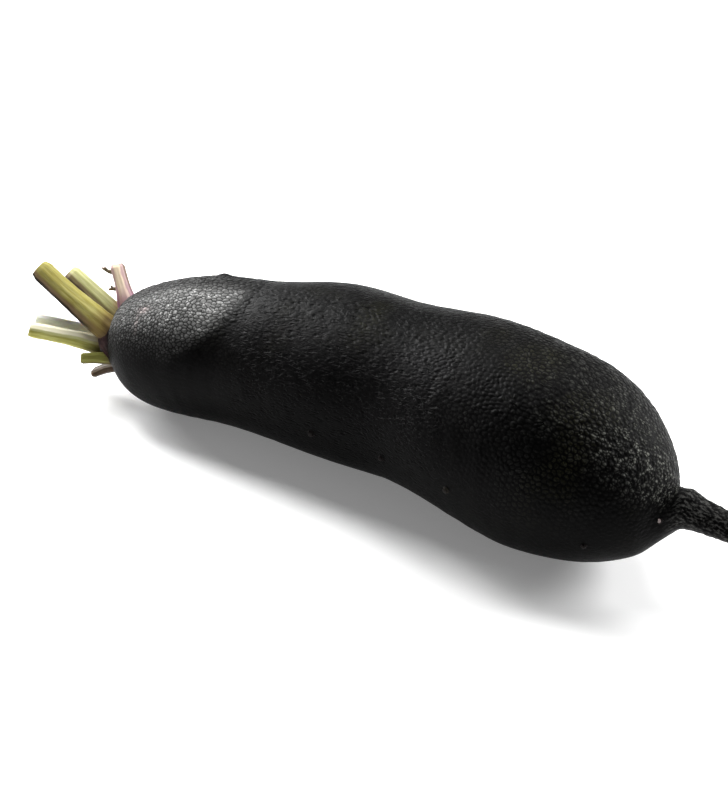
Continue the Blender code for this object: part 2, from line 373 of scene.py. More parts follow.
@dataclass(frozen=True)
class SkinFinish:
    """Near-black pebbled root skin: grey at the crown, partly its own dusting and partly a painted
    highlight, brown at the neck.

    A ramp holds the two ends of a Flow.step. The bare numbers left in the recipe are
    shares of a mix, and ramps of grey values between 0 and 1.
    """

    name: str = "black_skin"
    # Painted shade: the creases between pebbles are painted darker than the tops
    crease: Colour = (0.0004, 0.0004, 0.0004)
    low_top: Colour = (0.0022, 0.0022, 0.0022)
    high_top: Colour = (0.0150, 0.0150, 0.0142)
    top_ramp: Ramp = (0.42, 0.66)
    cloud: Pattern = Pattern(0.022, detail=3.0)
    olive: Colour = (0.018, 0.018, 0.008)
    olive_cloud: Pattern = Pattern(0.030)
    olive_ramp: Ramp = (0.50, 0.68)
    blotch_place: Triple = (0.0335, -0.0068, 0.0600)
    blotch_ramp: Ramp = (0.015, 0.008)
    blotch_uneven: float = 0.006
    # Crown and tail greys: partly real dust, partly a painted highlight
    dust_and_sheen: Colour = (0.560, 0.560, 0.548)
    tail_dust_and_sheen: Colour = (0.520, 0.530, 0.470)
    haze: float = 0.22
    dots: Pattern = Pattern(0.00128, 0.85)
    dot_ramp: Ramp = (0.66, 0.15)
    neck: Colour = (0.022, 0.011, 0.012)
    neck_light: Colour = (0.060, 0.032, 0.030)
    neck_fade: float = 0.004
    neck_uneven: float = 0.006
    fibre: Pattern = Pattern(0.0012, 0.25, 3.0)
    taproot_light: Colour = (0.055, 0.055, 0.052)
    taproot_fade: float = 0.003
    smudge: Pattern = Pattern(0.0007, 0.5, 3.0, 0.65)
    smudge_ramp: Ramp = (0.46, 0.66)
    scar: Colour = (0.42, 0.35, 0.34)
    speck: Pattern = Pattern(0.00042, 0.46, rough=0.6)
    grain: Pattern = Pattern(0.00105, 0.46)
    wave: Pattern = Pattern(0.0011, 0.34)
    wave_from: Ramp = (0.22, 0.32)
    wave_until: Ramp = (0.78, 0.62)
    wave_shade: float = 0.88
    grain_depth: float = 0.00020
    wave_depth: float = 0.00060
    dot_depth: float = 0.00025
    shine: float = 0.035

    def material(self, shape: "RootShape") -> Material:
        """Make the skin's material.

        Args:
            shape: The root that wears it, for the places where the skin changes.

        Returns:
            The material.
        """
        mix = Recipe(self.name)
        place = mix.place()
        straight = mix.attribute(STRAIGHT, "Vector")
        along = mix.part(straight, "Z")
        cloud = mix.noise(place, self.cloud)
        speck = mix.noise(straight, self.speck)

        def between(ramp: Ramp) -> Flow:
            """A soft ramp between two shares of the body's length."""
            return along.step(*(shape.run_at(share) for share in ramp))

        # Black grain, with painted shade in the creases and crosswise waves along the middle of the
        # body
        wavy = mix.noise(straight, self.wave)
        ridge = (1.0 - 9.0 * (wavy - 0.5) * (wavy - 0.5)).most(0.0)
        middle = between(self.wave_from) * between(self.wave_until)
        # Painted shade between the waves' ridges, which leaves light strokes along them
        stroke = 1.0 - self.wave_shade * middle * (1.0 - ridge.step(0.45, 0.98))
        tone = 0.35 + 0.65 * mix.attribute(TONE)
        light = mix.attribute(GRAIN_AND_SHADE).step(0.25, 1.0) * tone * speck.step(0.30, 0.72) * stroke
        top = mix.mix(cloud.step(*self.top_ramp), self.low_top, self.high_top)

        # Olive patches, one of them where the photo shows it
        blotch = mix.distance(place, self.blotch_place) + self.blotch_uneven * cloud
        olive = mix.noise(place, self.olive_cloud).step(*self.olive_ramp)
        olive = olive.most(blotch.step(*self.blotch_ramp)) * light

        # Dots of dust and painted highlight, grey on the crown and olive-grey at the tail
        dot = mix.cells(straight, self.dots).step(*self.dot_ramp)
        dot = dot * (0.6 + 0.4 * speck.step(0.3, 0.6))
        chance = mix.part(mix.cells(straight, self.dots, "Color"), "X")
        tailward = between((0.5, 0.8))
        haze = self.haze * (1.0 - tailward)
        dust_and_sheen_mask = mix.attribute(DUST_AND_SHEEN)
        dust_and_sheen = dust_and_sheen_mask * (haze + (1.0 - haze) * dot * (0.15 + 0.85 * chance * chance))
        dust_and_sheen_colour = mix.mix(tailward, self.dust_and_sheen, self.tail_dust_and_sheen)

        # Brown fibrous neck, smudged taproot and scars, over all that
        fibre = mix.noise(straight, self.fibre)
        neck_end = shape.neck_run
        neck = (along + self.neck_uneven * (fibre - 0.5)).step(neck_end, neck_end - self.neck_fade)
        brown = mix.mix(fibre.step(0.4, 0.7), self.neck, self.neck_light)
        smudge = mix.noise(straight, self.smudge).step(*self.smudge_ramp)
        start = shape.taproot_run
        taproot = along.step(start - MM, start + self.taproot_fade)
        colour = mix.coats(self.crease, (light, top), (olive * 0.8, self.olive), (dust_and_sheen, dust_and_sheen_colour),
                           (neck, brown), (taproot * smudge, self.taproot_light),
                           (mix.attribute(CUT), self.scar))

        relief = 0.4 * (1.0 - mix.cells(straight, self.grain)) + 0.6 * speck
        normal = mix.bump(relief, self.grain_depth, 0.7)
        normal = mix.bump(ridge * middle, self.wave_depth, 1.0, normal)
        normal = mix.bump(dot * dust_and_sheen_mask.step(0.0, 0.2), self.dot_depth, 0.65, normal)
        rough = (0.32 + 0.10 * cloud + 0.12 * (1.0 - light)).most(0.6 * dust_and_sheen)
        mix.set(Base_Color=colour, Roughness=rough, Normal=normal, Specular_IOR_Level=self.shine)
        return mix.material


@dataclass(frozen=True)
class StalkFinish:
    """Fresh fibrous leaf stalk, with a shade and an edge down one flank, a foot and a cut end; the
    flank colours are painted shade on some stalks and a painted highlight on others.

    Shade and edge ramps are read on FLANK, foot and base shares on the stalk's length.
    """

    slot: Slot
    main: Colour
    light: Colour
    shade: Colour
    edge: Colour
    foot: Colour
    base: Colour = (0.030, 0.014, 0.015)
    cut: Colour = (0.46, 0.47, 0.26)
    # Painted shade: the side that faces the lamps behind is multiplied by this colour
    lamp_side_darkening: Colour = (0.42, 0.42, 0.34)
    shade_ramp: Ramp = (0.15, 0.55)
    edge_ramp: Ramp = (0.72, 0.92)
    foot_share: float = 0.42
    base_share: float = 0.20
    fibre: Pattern = Pattern(0.0007, 0.10, 3.0, 0.6)
    fine: Pattern = Pattern(0.0003, 0.3)
    cloud: Pattern = Pattern(0.006)
    pores: Pattern = Pattern(0.0007)
    fibre_depth: float = 0.00018
    clear: float = 0.12
    clear_depth: float = 0.004
    clear_spread: Triple = (0.6, 0.5, 0.25)
    shine: float = 0.10

    def material(self, name: str) -> Material:
        """Make a stalk's material.

        Args:
            name: The material's name.

        Returns:
            The material.
        """
        mix = Recipe(name)
        straight = mix.attribute(STRAIGHT, "Vector")
        fibre = mix.noise(straight, self.fibre)
        cloud = mix.noise(mix.place(), self.cloud)
        fine = mix.noise(straight, self.fine)
        drift = 0.4 * (cloud - 0.5) + 0.25 * (fibre - 0.5)

        flank = mix.attribute(FLANK) + drift
        down = mix.attribute(TONE) + 0.6 * drift
        pore = mix.cells(mix.place(), self.pores)
        face = mix.mix(pore.step(0.15, 0.6), self.cut, self.light)
        colour = mix.coats(self.main, (fibre.step(0.35, 0.68), self.light),
                           (flank.step(*self.shade_ramp), self.shade),
                           (flank.step(*self.edge_ramp), self.edge),
                           (down.step(self.foot_share, 0.25 * self.foot_share), self.foot),
                           (down.step(self.base_share, 0.0), self.base),
                           (mix.attribute(CUT).step(0.3, 0.8), face))
        # Painted shade on the side that faces the lamps behind
        colour = mix.mix(mix.attribute(LAMP_SIDE_DARKENING), colour, self.lamp_side_darkening, "MULTIPLY")

        normal = mix.bump(fibre * 0.7 + fine * 0.3, self.fibre_depth, 0.8)
        mix.set(Base_Color=colour, Roughness=0.45 + 0.2 * fine, Normal=normal,
                Specular_IOR_Level=self.shine, Subsurface_Weight=self.clear,
                Subsurface_Scale=self.clear_depth, Subsurface_Radius=self.clear_spread)
        return mix.material


@dataclass(frozen=True)
class FloorFinish:
    """Plain white table, faintly uneven, that brightens into a seamless backdrop far away."""

    name: str = "white_table"
    colour: Colour = (0.88, 0.88, 0.88)
    other: Colour = (0.91, 0.91, 0.91)
    glow: Colour = (0.18, 0.18, 0.18)
    far_glow: Colour = (1.0, 1.0, 1.0)
    far_ramp: Ramp = (0.40, 1.10)
    cloud: Pattern = Pattern(0.4)

    def material(self) -> Material:
        """Make the floor's material.

        Returns:
            The material.
        """
        mix = Recipe(self.name)
        cloud = mix.noise(mix.place(), self.cloud)
        far = mix.distance(mix.place(), (0.0, 0.0, 0.0)).step(*self.far_ramp)
        mix.set(Base_Color=mix.mix(cloud, self.colour, self.other), Roughness=0.7,
                Emission_Color=mix.mix(far, self.glow, self.far_glow), Emission_Strength=1.0,
                Specular_IOR_Level=0.2)
        return mix.material


def link_object(name: str, data: bpy.types.ID) -> Object:
    """Make an object and put it in the scene.

    Args:
        name: The object's name.
        data: Its mesh, light or camera.

    Returns:
        The object, at the origin.
    """
    made = bpy.data.objects.new(name, data)
    bpy.context.scene.collection.objects.link(made)
    return made


def aim_object(made: Object, place: Sequence[float], way: Vector) -> None:
    """Put a light or a camera at a place, looking a way."""
    made.location = place
    made.rotation_euler = way.to_track_quat("-Z", "Y").to_euler()


def finish_mesh(bm: BMesh, name: str, material: Material) -> Object:
    """Turn a bmesh into a smooth-shaded object of the scene.

    Args:
        bm: The mesh, which is freed.
        name: The object's name.
        material: What it wears.

    Returns:
        The object.
    """
    mesh = bpy.data.meshes.new(name)
    bm.to_mesh(mesh)
    bm.free()
    mesh.materials.append(material)
    mesh.shade_smooth()
    return link_object(name, mesh)


def attach(piece: Object, slot: Slot, *nodes: str) -> None:
    """Make a piece ride on the root's body, hide the CAD nodes that it replaces and log its faces.

    Args:
        piece: The piece.
        slot: Not used.
        nodes: The CAD nodes that it replaces.
    """
    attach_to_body(piece, ROOT_BODY)
    if nodes:
        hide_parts(*nodes)
    log.info("%s: %d faces", piece.name, len(piece.data.polygons))


def point_layers(bm: BMesh, *names: str) -> list[BMLayer]:
    """Add number attributes to a mesh's points, after the vector attribute STRAIGHT.

    Args:
        bm: The mesh.
        names: The number attributes.

    Returns:
        The layers: STRAIGHT's and then the others', in order.
    """
    kinds = bm.verts.layers
    return [kinds.float_vector.new(STRAIGHT)] + [kinds.float.new(name) for name in names]


def loop_edges(ring: Ring) -> list[BMEdge]:
    """The edges that join the points of a ring."""
    members = set(ring)
    return list(dict.fromkeys(e for v in ring for e in v.link_edges if e.other_vert(v) in members))


def round_way(side: Vector, up: Vector, angle: float) -> Vector:
    """The direction at an angle round a rod, from its side towards its up."""
    return math.cos(angle) * side + math.sin(angle) * up


def axes_on(line: Sequence[Vector], share: float) -> Axes:
    """Where a share of a line's length is, and how the line runs there.

    Args:
        line: The line's points, evenly spaced.
        share: The share, from 0 to 1.

    Returns:
        The point, the way along the line and two directions across it, side and up.
    """
    steps = len(line) - 1
    k = min(max(int(share * steps), 0), steps - 1)
    start, end = line[k], line[k + 1]
    before, after = line[max(k - 1, 0)], line[min(k + 2, steps)]
    t = share * steps - k
    along = (end - before).lerp(after - start, t).normalized()
    side = along.cross(UP).normalized()
    return start.lerp(end, t), along, side, side.cross(along)


@dataclass(frozen=True)
class Station:
    """One ring of the root: where it is, how it is turned and how wide it is."""

    run: float
    reach: float
    middle: Vector
    along: Vector
    side: Vector
    up: Vector
    radius: float


@dataclass(frozen=True)
class Spot:
    """A small hill or hollow in the body's skin."""

    share: float
    angle_deg: float
    width: float
    height: float


@dataclass(frozen=True)
class Mark:
    """A healed scar: pebbles of another colour within an oval."""

    share: float
    angle_deg: float
    along: float
    across: float
    strength: float


@dataclass(frozen=True)
class Folds:
    """Fine folds in plain skin: how wide, long and high they are."""

    across: float
    along: float
    height: float
    offset: float = 0.0

    def at(self, x: float, y: float, run: float) -> float:
        """Height of the folds at a place on the straightened root."""
        place = Vector((x / self.across, y / self.across, run / self.along + self.offset))
        return self.height * noise.noise(place)


@dataclass
class RootShape:
    """The root's form: the bent body, the neck on its crown end and the taproot on its tail end.

    A share is of the body's length, a reach is a distance along the root's middle line
    from the crown's pole, and a run is a distance along its skin from there.
    """

    body_length: float = 0.199
    widest_radius: float = 0.0301
    girth: Curve = Curve(((0.0, 0.903), (0.12, 0.789), (0.26, 0.806), (0.40, 0.908),
                          (0.55, 0.913), (0.70, 1.0), (0.85, 1.0), (1.0, 0.979)))
    heading_deg: Curve = Curve(((0.0, 20.0), (0.25, 5.8), (0.50, -4.2), (0.75, -13.0),
                                (1.0, -7.0)))
    middle_height: Curve = Curve(((0.0, 0.0194), (0.25, 0.0240), (0.50, 0.0281), (0.80, 0.0296),
                                  (1.0, 0.0237)))
    end_share: float = 0.22
    crown_power: float = 2.2
    tail_power: float = 2.0
    lump_size: float = 0.028
    lump_height: float = 0.0009
    wrinkle_pitch: float = 0.0085
    wrinkle_height: float = 0.0001
    wrinkle_drift: float = 4.8
    wrinkle_drift_size: float = 0.019
    wrinkle_patch_size: float = 0.012
    wrinkle_patch_bias: float = 0.35
    neck_height: float = 0.0038
    neck_top_radius: float = 0.0045
    neck_foot_radius: float = 0.0090
    neck_lean_deg: float = 25.0
    taproot_length: float = 0.066
    taproot_sunk: float = 0.010
    taproot_raised: float = 0.0024
    taproot_set_back: float = 0.0026
    taproot_radius: Curve = Curve(((0.0, 0.0085), (0.13, 0.0062), (0.20, 0.0050), (0.32, 0.0043),
                                   (0.55, 0.0033), (0.80, 0.0021), (1.0, 0.0012)))
    taproot_heading_deg: Curve = Curve(((0.0, -7.0), (0.35, -6.0), (0.7, 2.0), (1.0, 9.0)))
    taproot_droop_deg: Curve = Curve(((0.0, -2.0), (0.35, 2.0), (0.7, 12.0), (1.0, 20.0)))
    taproot_steps: int = 20
    rib_height: float = 0.05
    rib_count: float = 3.0
    rib_twist: float = 5.0
    rib_ramp: Ramp = (0.13, 0.2)
    joint_radius: float = 0.0095
    joint_before: float = 0.0040
    joint_past: float = 0.0042
    joint_steps: int = 16
    joint_pull: tuple[float, float] = (1.1, 0.9)
    tip_cap: float = 0.0002
    pole_radius: float = 0.0001
    spots: tuple[Spot, ...] = (
        Spot(0.150, 60.0, 0.0120, 0.0009),
        Spot(0.320, 78.0, 0.0110, 0.0006),
        Spot(0.305, 48.0, 0.0110, 0.0007),
        Spot(0.275, 20.0, 0.0110, 0.0006),
        Spot(1.004, 92.0, 0.0046, 0.0018),
        Spot(0.989, -50.0, 0.0070, 0.0016),
        Spot(0.186, 112.0, 0.0016, 0.0013),
        Spot(0.085, 62.0, 0.0013, -0.0005),
    )
    line_steps: int = 240
    end_steps: int = 90
    end_crowding: float = 1.3
    tap_rings: int = 60
    fit_rings: int = 300
    fit_around: int = 60
    shift: Vector = field(default_factory=Vector)

    def __post_init__(self) -> None:
        """Walk the body's middle line and the taproot's, and read the outline along them."""
        self.tap_whole = self.taproot_length + self.taproot_sunk
        self.line = self._body_line()
        self.tap_line = self._taproot_line()
        self.outline = self._outline()
        self.neck_run = next(run for run, _, radius in self.outline
                             if radius > self.neck_foot_radius)
        self.taproot_run = self.run_at(1.0 + MM / self.body_length)

    def _body_line(self) -> list[Vector]:
        """Walk down the middle of the body.

        Returns:
            Evenly spaced points, from pole to pole.
        """
        step = 1.0 / self.line_steps
        line = [Vector((0.0, 0.0, self.middle_height.at(0.0)))]
        for k in range(self.line_steps):
            way = way_to(self.heading_deg.at((k + 0.5) * step))
            place = line[-1] + self.body_length * step * way
            place.z = self.middle_height.at((k + 1) * step)
            line.append(place)
        return line

    def _taproot_line(self) -> list[Vector]:
        """Walk down the middle of the taproot.

        Returns:
            Evenly spaced points, from inside the body to the broken tip.
        """
        middle, along, side, up = axes_on(self.line, 1.0)
        points = [middle - self.taproot_sunk * along + self.taproot_raised * up
                  - self.taproot_set_back * side]
        for k in range(self.taproot_steps):
            share = (k + 0.5) / self.taproot_steps
            way = way_to(self.taproot_heading_deg.at(share), -self.taproot_droop_deg.at(share))
            points.append(points[-1] + self.tap_whole / self.taproot_steps * way)
        return points

    def _rounding(self, share: float) -> float:
        """How far both ends have closed at a share: 1 in the middle and 0 at the poles.

        Args:
            share: The share of the body's length.

        Returns:
            The part of the full girth that is left.
        """
        crown = max(1.0 - share / self.end_share, 0.0)
        tail = max(1.0 - (1.0 - share) / self.end_share, 0.0)
        return (max(1.0 - crown**self.crown_power, 0.0) ** (1.0 / self.crown_power)
                * max(1.0 - tail**self.tail_power, 0.0) ** (1.0 / self.tail_power))

    def body_radius(self, reach: float) -> float:
        """Radius of the body's smooth form at a reach."""
        share = reach / self.body_length
        return self.widest_radius * self.girth.at(share) * self._rounding(share)

    def onward(self, reach: float) -> float:
        """How far along the taproot a reach is, as a share from its sunk end."""
        return (reach - self.body_length + self.taproot_sunk) / self.tap_whole

    def tap_radius(self, reach: float) -> float:
        """Radius of the taproot at a reach."""
        return self.taproot_radius.at(self.onward(reach))

    def neck_lift(self, radius: float, reach: float) -> float:
        """How far the neck stands out of the crown at a radius round its pole."""
        foot = soft_step(self.neck_top_radius, self.neck_foot_radius, radius)
        return self.neck_height * (1.0 - foot) * (reach < self.end_share * self.body_length)

    def crown_way(self) -> Vector:
        """The level direction of the body's middle line at the crown."""
        return level_way(axes_on(self.line, 0.0)[1])

    def neck_way(self) -> Vector:
        """The direction that the neck leans in."""
        lean = math.radians(self.neck_lean_deg)
        return math.sin(lean) * UP - math.cos(lean) * self.crown_way()

    def _outline(self) -> list[tuple[float, float, float]]:
        """Measure along the skin.

        Returns:
            Fine (run, reach, radius) points, from the crown's pole to the taproot's tip.
        """
        run, points, last = 0.0, [], None
        body = self._body_outline()
        for reach, radius in body + self._joint_outline(body) + self._tap_outline():
            here = Vector((reach - self.neck_lift(radius, reach), radius))
            run += (here - last).length if last else 0.0
            points.append((run, reach, radius))
            last = here
        return points

    def _body_outline(self) -> Outline:
        """Follow the body from the crown's pole to where the taproot's joint starts.

        Returns:
            Fine (reach, radius) points.
        """
        length, fine = self.body_length, self.end_steps
        cap = self.end_share * length

        def end_reach(t: float) -> float:
            """How far from a pole a step over a rounded end reaches."""
            return cap * (1.0 - math.cos(0.5 * math.pi * t**self.end_crowding))

        reaches = [end_reach(k / fine) for k in range(fine)]
        reaches += [cap + (length - 2.0 * cap) * k / fine for k in range(fine)]
        reaches += [length - end_reach(1.0 - k / fine) for k in range(fine)]
        body = [(reach, self.body_radius(reach)) for reach in reaches]
        return [p for p in body if p[0] < 0.5 * length or p[1] > self.joint_radius]

    def _joint_outline(self, body: Outline) -> Outline:
        """Follow the flare between the body and the taproot.

        Args:
            body: The body's points.

        Returns:
            Fine (reach, radius) points, without the flare's ends.
        """
        start, before = Vector(body[-1]), Vector(body[-2])
        end_reach = self.body_length + self.joint_past
        end = Vector((end_reach, self.tap_radius(end_reach)))
        ahead = Vector((end_reach + MM, self.tap_radius(end_reach + MM)))
        pull = (end - start).length
        leave = (start - before).normalized() * pull * self.joint_pull[0]
        arrive = (ahead - end).normalized() * pull * self.joint_pull[1]
        joint = []
        for k in range(1, self.joint_steps):
            w0, w1, w2, w3 = smooth_weights(k / self.joint_steps)
            joint.append(tuple(w0 * start + w1 * leave + w2 * end + w3 * arrive))
        return joint

    def _tap_outline(self) -> Outline:
        """Follow the taproot to its broken tip.

        Returns:
            Fine (reach, radius) points.
        """
        start, tip = self.body_length + self.joint_past, self.body_length + self.taproot_length
        count = self.tap_rings
        reaches = [start + (tip - start) * k / count for k in range(count + 1)]
        tap = [(reach, self.tap_radius(reach)) for reach in reaches]
        end = tip + self.tip_cap
        return tap + [(end, 0.6 * tap[-1][1]), (end, self.pole_radius)]

    def run_at(self, share: float) -> float:
        """The run of a share of the body's length."""
        reach = share * self.body_length
        return next(run for run, here, _ in self.outline if here >= reach)

    def station(self, run: float) -> Station:
        """The ring of the root at a run.

        Args:
            run: The run.

        Returns:
            The ring.
        """
        outline, length = self.outline, self.body_length
        low, high = 0, len(outline) - 1
        while high - low > 1:
            half = (low + high) // 2
            low, high = (half, high) if outline[half][0] <= run else (low, half)
        (r0, reach0, radius0), (r1, reach1, radius1) = outline[low], outline[high]
        t = (run - r0) / max(r1 - r0, 1e-9)
        reach = reach0 + t * (reach1 - reach0)
        radius = radius0 + t * (radius1 - radius0)
        body = axes_on(self.line, min(reach / length, 1.0))
        weight = soft_step(-self.joint_before, self.joint_past, reach - length)
        if weight > 0.0:
            tap = axes_on(self.tap_line, min(self.onward(reach), 1.0))
            beyond = max(reach - length, 0.0) if reach < length + self.joint_past else 0.0
            middle = (body[0] + beyond * body[1]).lerp(tap[0], weight)
            along = body[1].lerp(tap[1], weight).normalized()
            side = along.cross(UP).normalized()
            body = (middle, along, side, side.cross(along))
        return Station(run, reach, *body, radius)

    @cached_property
    def spot_places(self) -> list[tuple[Spot, Vector]]:
        """Find the spots.

        Returns:
            Each spot with its place on the smooth form, before the shift.
        """
        found = []
        for spot in self.spots:
            at = self.station(self.run_at(spot.share))
            outward = round_way(at.side, at.up, math.radians(spot.angle_deg))
            found.append((spot, at.middle + at.radius * outward))
        return found

    def skin_point(self, at: Station, angle: float) -> Vector:
        """Point of the root's skin, with its lumps and wrinkles but without its pebbles.

        Args:
            at: The ring.
            angle: How far round it, where a quarter turn is up.

        Returns:
            The point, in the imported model's frame.
        """
        outward = round_way(at.side, at.up, angle)
        plain = at.middle + at.radius * outward
        share = at.reach / self.body_length
        if share < 1.0:
            lumps = self.lump_height * noise.noise(plain / self.lump_size)
            drift = self.wrinkle_drift * noise.noise(plain / self.wrinkle_drift_size)
            patch = noise.noise(plain / self.wrinkle_patch_size)
            strength = max(patch + self.wrinkle_patch_bias, 0.0)
            turn = FULL_TURN * at.reach / self.wrinkle_pitch
            wrinkles = self.wrinkle_height * strength * math.sin(turn + drift)
            point = plain + self._rounding(share) * (lumps + wrinkles) * outward
        else:
            onward = self.onward(at.reach)
            wave = math.sin(self.rib_count * angle + self.rib_twist * onward)
            ribs = self.rib_height * wave * soft_step(*self.rib_ramp, onward)
            point = plain + at.radius * ribs * outward
        for spot, place in self.spot_places:
            point += spot.height * hill((plain - place).length, spot.width) * outward
        point += self.neck_lift(at.radius, at.reach) * self.neck_way()
        point += self.shift
        point.z = max(point.z, 0.0)
        return point

    def fit_to_frame(self) -> None:
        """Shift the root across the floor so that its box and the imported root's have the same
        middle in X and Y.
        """
        lowest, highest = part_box("root")
        total, count, around = self.outline[-1][0], self.fit_rings, self.fit_around
        rings = [self.station(total * k / count) for k in range(count + 1)]
        points = [self.skin_point(ring, FULL_TURN * k / around)
                  for ring in rings for k in range(around)]
        for axis in (0, 1):
            own = 0.5 * (min(p[axis] for p in points) + max(p[axis] for p in points))
            self.shift[axis] = 0.5 * (lowest[axis] + highest[axis]) - own


@dataclass
class RootSkin:
    """The root's skin as real relief: thousands of pebbles parted by creases.

    Angles go round the root, where 0 is towards the camera's side and 90 is up. Past
    straight down they go on from -90 to -180, on the far side.
    """

    shape: RootShape
    finish: SkinFinish = SkinFinish()
    across_mm: Curve = Curve(((0.0, 1.55), (0.16, 1.55), (0.3, 1.5), (0.6, 1.5), (0.75, 1.9),
                              (1.0, 1.8)))
    along_mm: Curve = Curve(((0.0, 1.25), (0.14, 1.35), (0.25, 2.4), (0.60, 2.5), (0.72, 1.7),
                             (1.0, 1.5)))
    plain_mm: float = 0.75
    crowding: float = 0.24
    crowded_at_deg: float = 50.0
    stray: float = 0.36
    uneven: float = 0.08
    first_run: float = 0.0003
    least_run: float = 0.0001
    fewest: int = 6
    neck_folds: tuple[Folds, ...] = (Folds(0.0012, 0.004, 0.00022),)
    taproot_folds: tuple[Folds, ...] = (Folds(0.004, 0.0011, 0.00020),
                                        Folds(0.0016, 0.012, 0.00020, 7.0))
    inset_mm: Triple = (0.27, 0.16, 0.34)
    inset_from: tuple[float, float] = (0.26, 0.68)
    lift_mm: Curve = Curve(((0.0, 0.24), (0.22, 0.22), (0.32, 0.07), (0.60, 0.08), (0.76, 0.18),
                            (1.0, 0.20)))
    lift_spread: tuple[float, float] = (0.55, 1.35)
    plain_grain: float = 0.6
    plain_tone: float = 0.5
    least_grain: float = 0.3
    under_deg: float = -90.0
    # The calm and waist numbers flatten the pebbles and paint shade on their tops, down the front
    # and in the waist
    calm_below_deg: Curve = Curve(((0.0, 58.0), (0.30, 74.0), (0.58, 86.0), (0.8, 42.0),
                                   (1.0, 37.0)))
    calm_over_deg: float = 60.0
    calm: float = 0.12
    waist_past: float = 0.034
    waist_width: float = 0.034
    waist_shade: Curve = Curve(((0.0, 0.2), (25.0, 0.5), (45.0, 0.62), (88.0, 0.62),
                                (110.0, 0.0), (180.0, 0.0)))
    # Where the crown's dust and painted highlight reach, how they fade and how far round they go
    dust_and_sheen_until: Curve = Curve(((0.0, 0.150), (23.0, 0.185), (35.0, 0.22), (61.0, 0.262),
                               (98.0, 0.275), (180.0, 0.20)))
    dust_and_sheen_fade: tuple[float, float] = (0.045, 0.12)
    dust_and_sheen_fade_deg: Ramp = (80.0, 120.0)
    dust_and_sheen_round: Curve = Curve(((0.0, 0.0), (18.0, 0.03), (36.0, 0.26), (56.0, 1.0), (76.0, 0.95),
                               (90.0, 0.18), (130.0, 0.18), (180.0, 0.0)))
    dust_and_sheen_along: Curve = Curve(((0.0, 0.42), (0.07, 0.62), (0.16, 1.0), (1.0, 1.0)))
    tail_dust_and_sheen: Curve = Curve(((0.70, 0.0), (0.81, 0.07), (0.87, 0.15), (0.93, 0.30),
                              (0.98, 0.40), (1.0, 0.25)))
    tail_dust_and_sheen_round: Curve = Curve(((0.0, 0.0), (34.0, 0.03), (48.0, 0.30), (70.0, 1.0),
                                    (100.0, 1.0), (125.0, 0.3), (180.0, 0.0)))
    marks: tuple[Mark, ...] = (
        Mark(0.085, 62.0, 0.0020, 0.0012, 0.75),
        Mark(0.075, 50.0, 0.0007, 0.0028, 0.35),
    )
    map_from: tuple[float, float] = (0.001, 0.002)
    map_size: tuple[float, float] = (0.985, 0.996)
    seed: int = 7

    def build(self) -> Object:
        """Model the skin.

        Returns:
            The finished piece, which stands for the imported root.
        """
        self.bm = bmesh.new()
        layers = point_layers(self.bm, GRAIN_AND_SHADE, TONE, CUT, DUST_AND_SHEEN)
        self.straight, self.grain, self.tone, self.cut, self.dust_and_sheen = layers
        self._rings()
        self._turn_to_cells()
        self._fine_relief()
        self._raise_pebbles()
        self._unroll()
        piece = finish_mesh(self.bm, "root_skin", self.finish.material(self.shape))
        attach(piece, Slot.SKIN, "root")
        return piece

    def _spacing(self, at: Station, draw: random.Random) -> tuple[bool, float, float]:
        """How far apart the pebbles are at a ring.

        Args:
            at: The ring.
            draw: The seeded draws.

        Returns:
            Whether the skin is plain, as on the neck and the taproot, and the distances
            across and along the root.
        """
        if at.run < self.shape.neck_run or at.reach > self.shape.body_length + MM:
            return True, self.plain_mm * MM, self.plain_mm * MM
        share = at.reach / self.shape.body_length
        uneven = 1.0 + draw.uniform(-self.uneven, self.uneven)
        return False, self.across_mm.at(share) * MM * uneven, self.along_mm.at(share) * MM

    def _rings(self) -> None:
        """Lay rings of points over the root, one for each pebble, and join them with faces."""
        draw = random.Random(self.seed)
        shape = self.shape
        total = shape.outline[-1][0]
        run, row, before = self.first_run, 0, None
        while run < total:
            at = shape.station(run)
            plain, across, along = self._spacing(at, draw)
            count = max(round(FULL_TURN * at.radius / across), self.fewest)
            ring = bmesh.ops.create_circle(self.bm, segments=count, radius=1.0)["verts"]
            start = draw.random() if plain else 0.5 * (row % 2)
            for k, vert in enumerate(ring):
                turn = FULL_TURN * (k + start + draw.uniform(-self.stray, self.stray)) / count
                turn += self.crowding * math.cos(turn + math.radians(90.0 - self.crowded_at_deg))
                here = min(run + draw.uniform(-self.stray, self.stray) * along, total)
                spot = shape.station(max(here, self.least_run))
                vert.co = shape.skin_point(spot, turn)
                x, y = spot.radius * math.cos(turn), spot.radius * math.sin(turn)
                vert[self.straight] = (x, y, here)
            edges = loop_edges(ring)
            if before:
                bmesh.ops.bridge_loops(self.bm, edges=before + edges)
            before = edges
            run += along
            row += 1
        bmesh.ops.holes_fill(self.bm, edges=[edge for edge in self.bm.edges if edge.is_boundary])
        bmesh.ops.recalc_face_normals(self.bm, faces=self.bm.faces)
        bmesh.ops.triangulate(self.bm, faces=self.bm.faces, quad_method="SHORT_EDGE")

    def _turn_to_cells(self) -> None:
        """Turn each point of the triangle mesh into a cell round it."""
        seeds = list(self.bm.verts)
        lines = list(self.bm.edges)
        poked = bmesh.ops.poke(self.bm, faces=self.bm.faces)
        for vert in poked["verts"]:
            near = [edge.other_vert(vert)[self.straight] for edge in vert.link_edges]
            vert[self.straight] = sum(near, Vector()) / len(near)
        bmesh.ops.rotate_edges(self.bm, edges=lines, use_ccw=False)
        bmesh.ops.dissolve_verts(self.bm, verts=seeds)
        bmesh.ops.recalc_face_normals(self.bm, faces=self.bm.faces)

    def _fine_relief(self) -> None:
        """Wrinkle the taproot and the neck."""
        self.bm.normal_update()
        for vert in self.bm.verts:
            x, y, run = vert[self.straight]
            folds = ()
            if run < self.shape.neck_run:
                folds = self.neck_folds
            elif run > self.shape.taproot_run:
                folds = self.taproot_folds
            vert.co += sum(fold.at(x, y, run) for fold in folds) * vert.normal

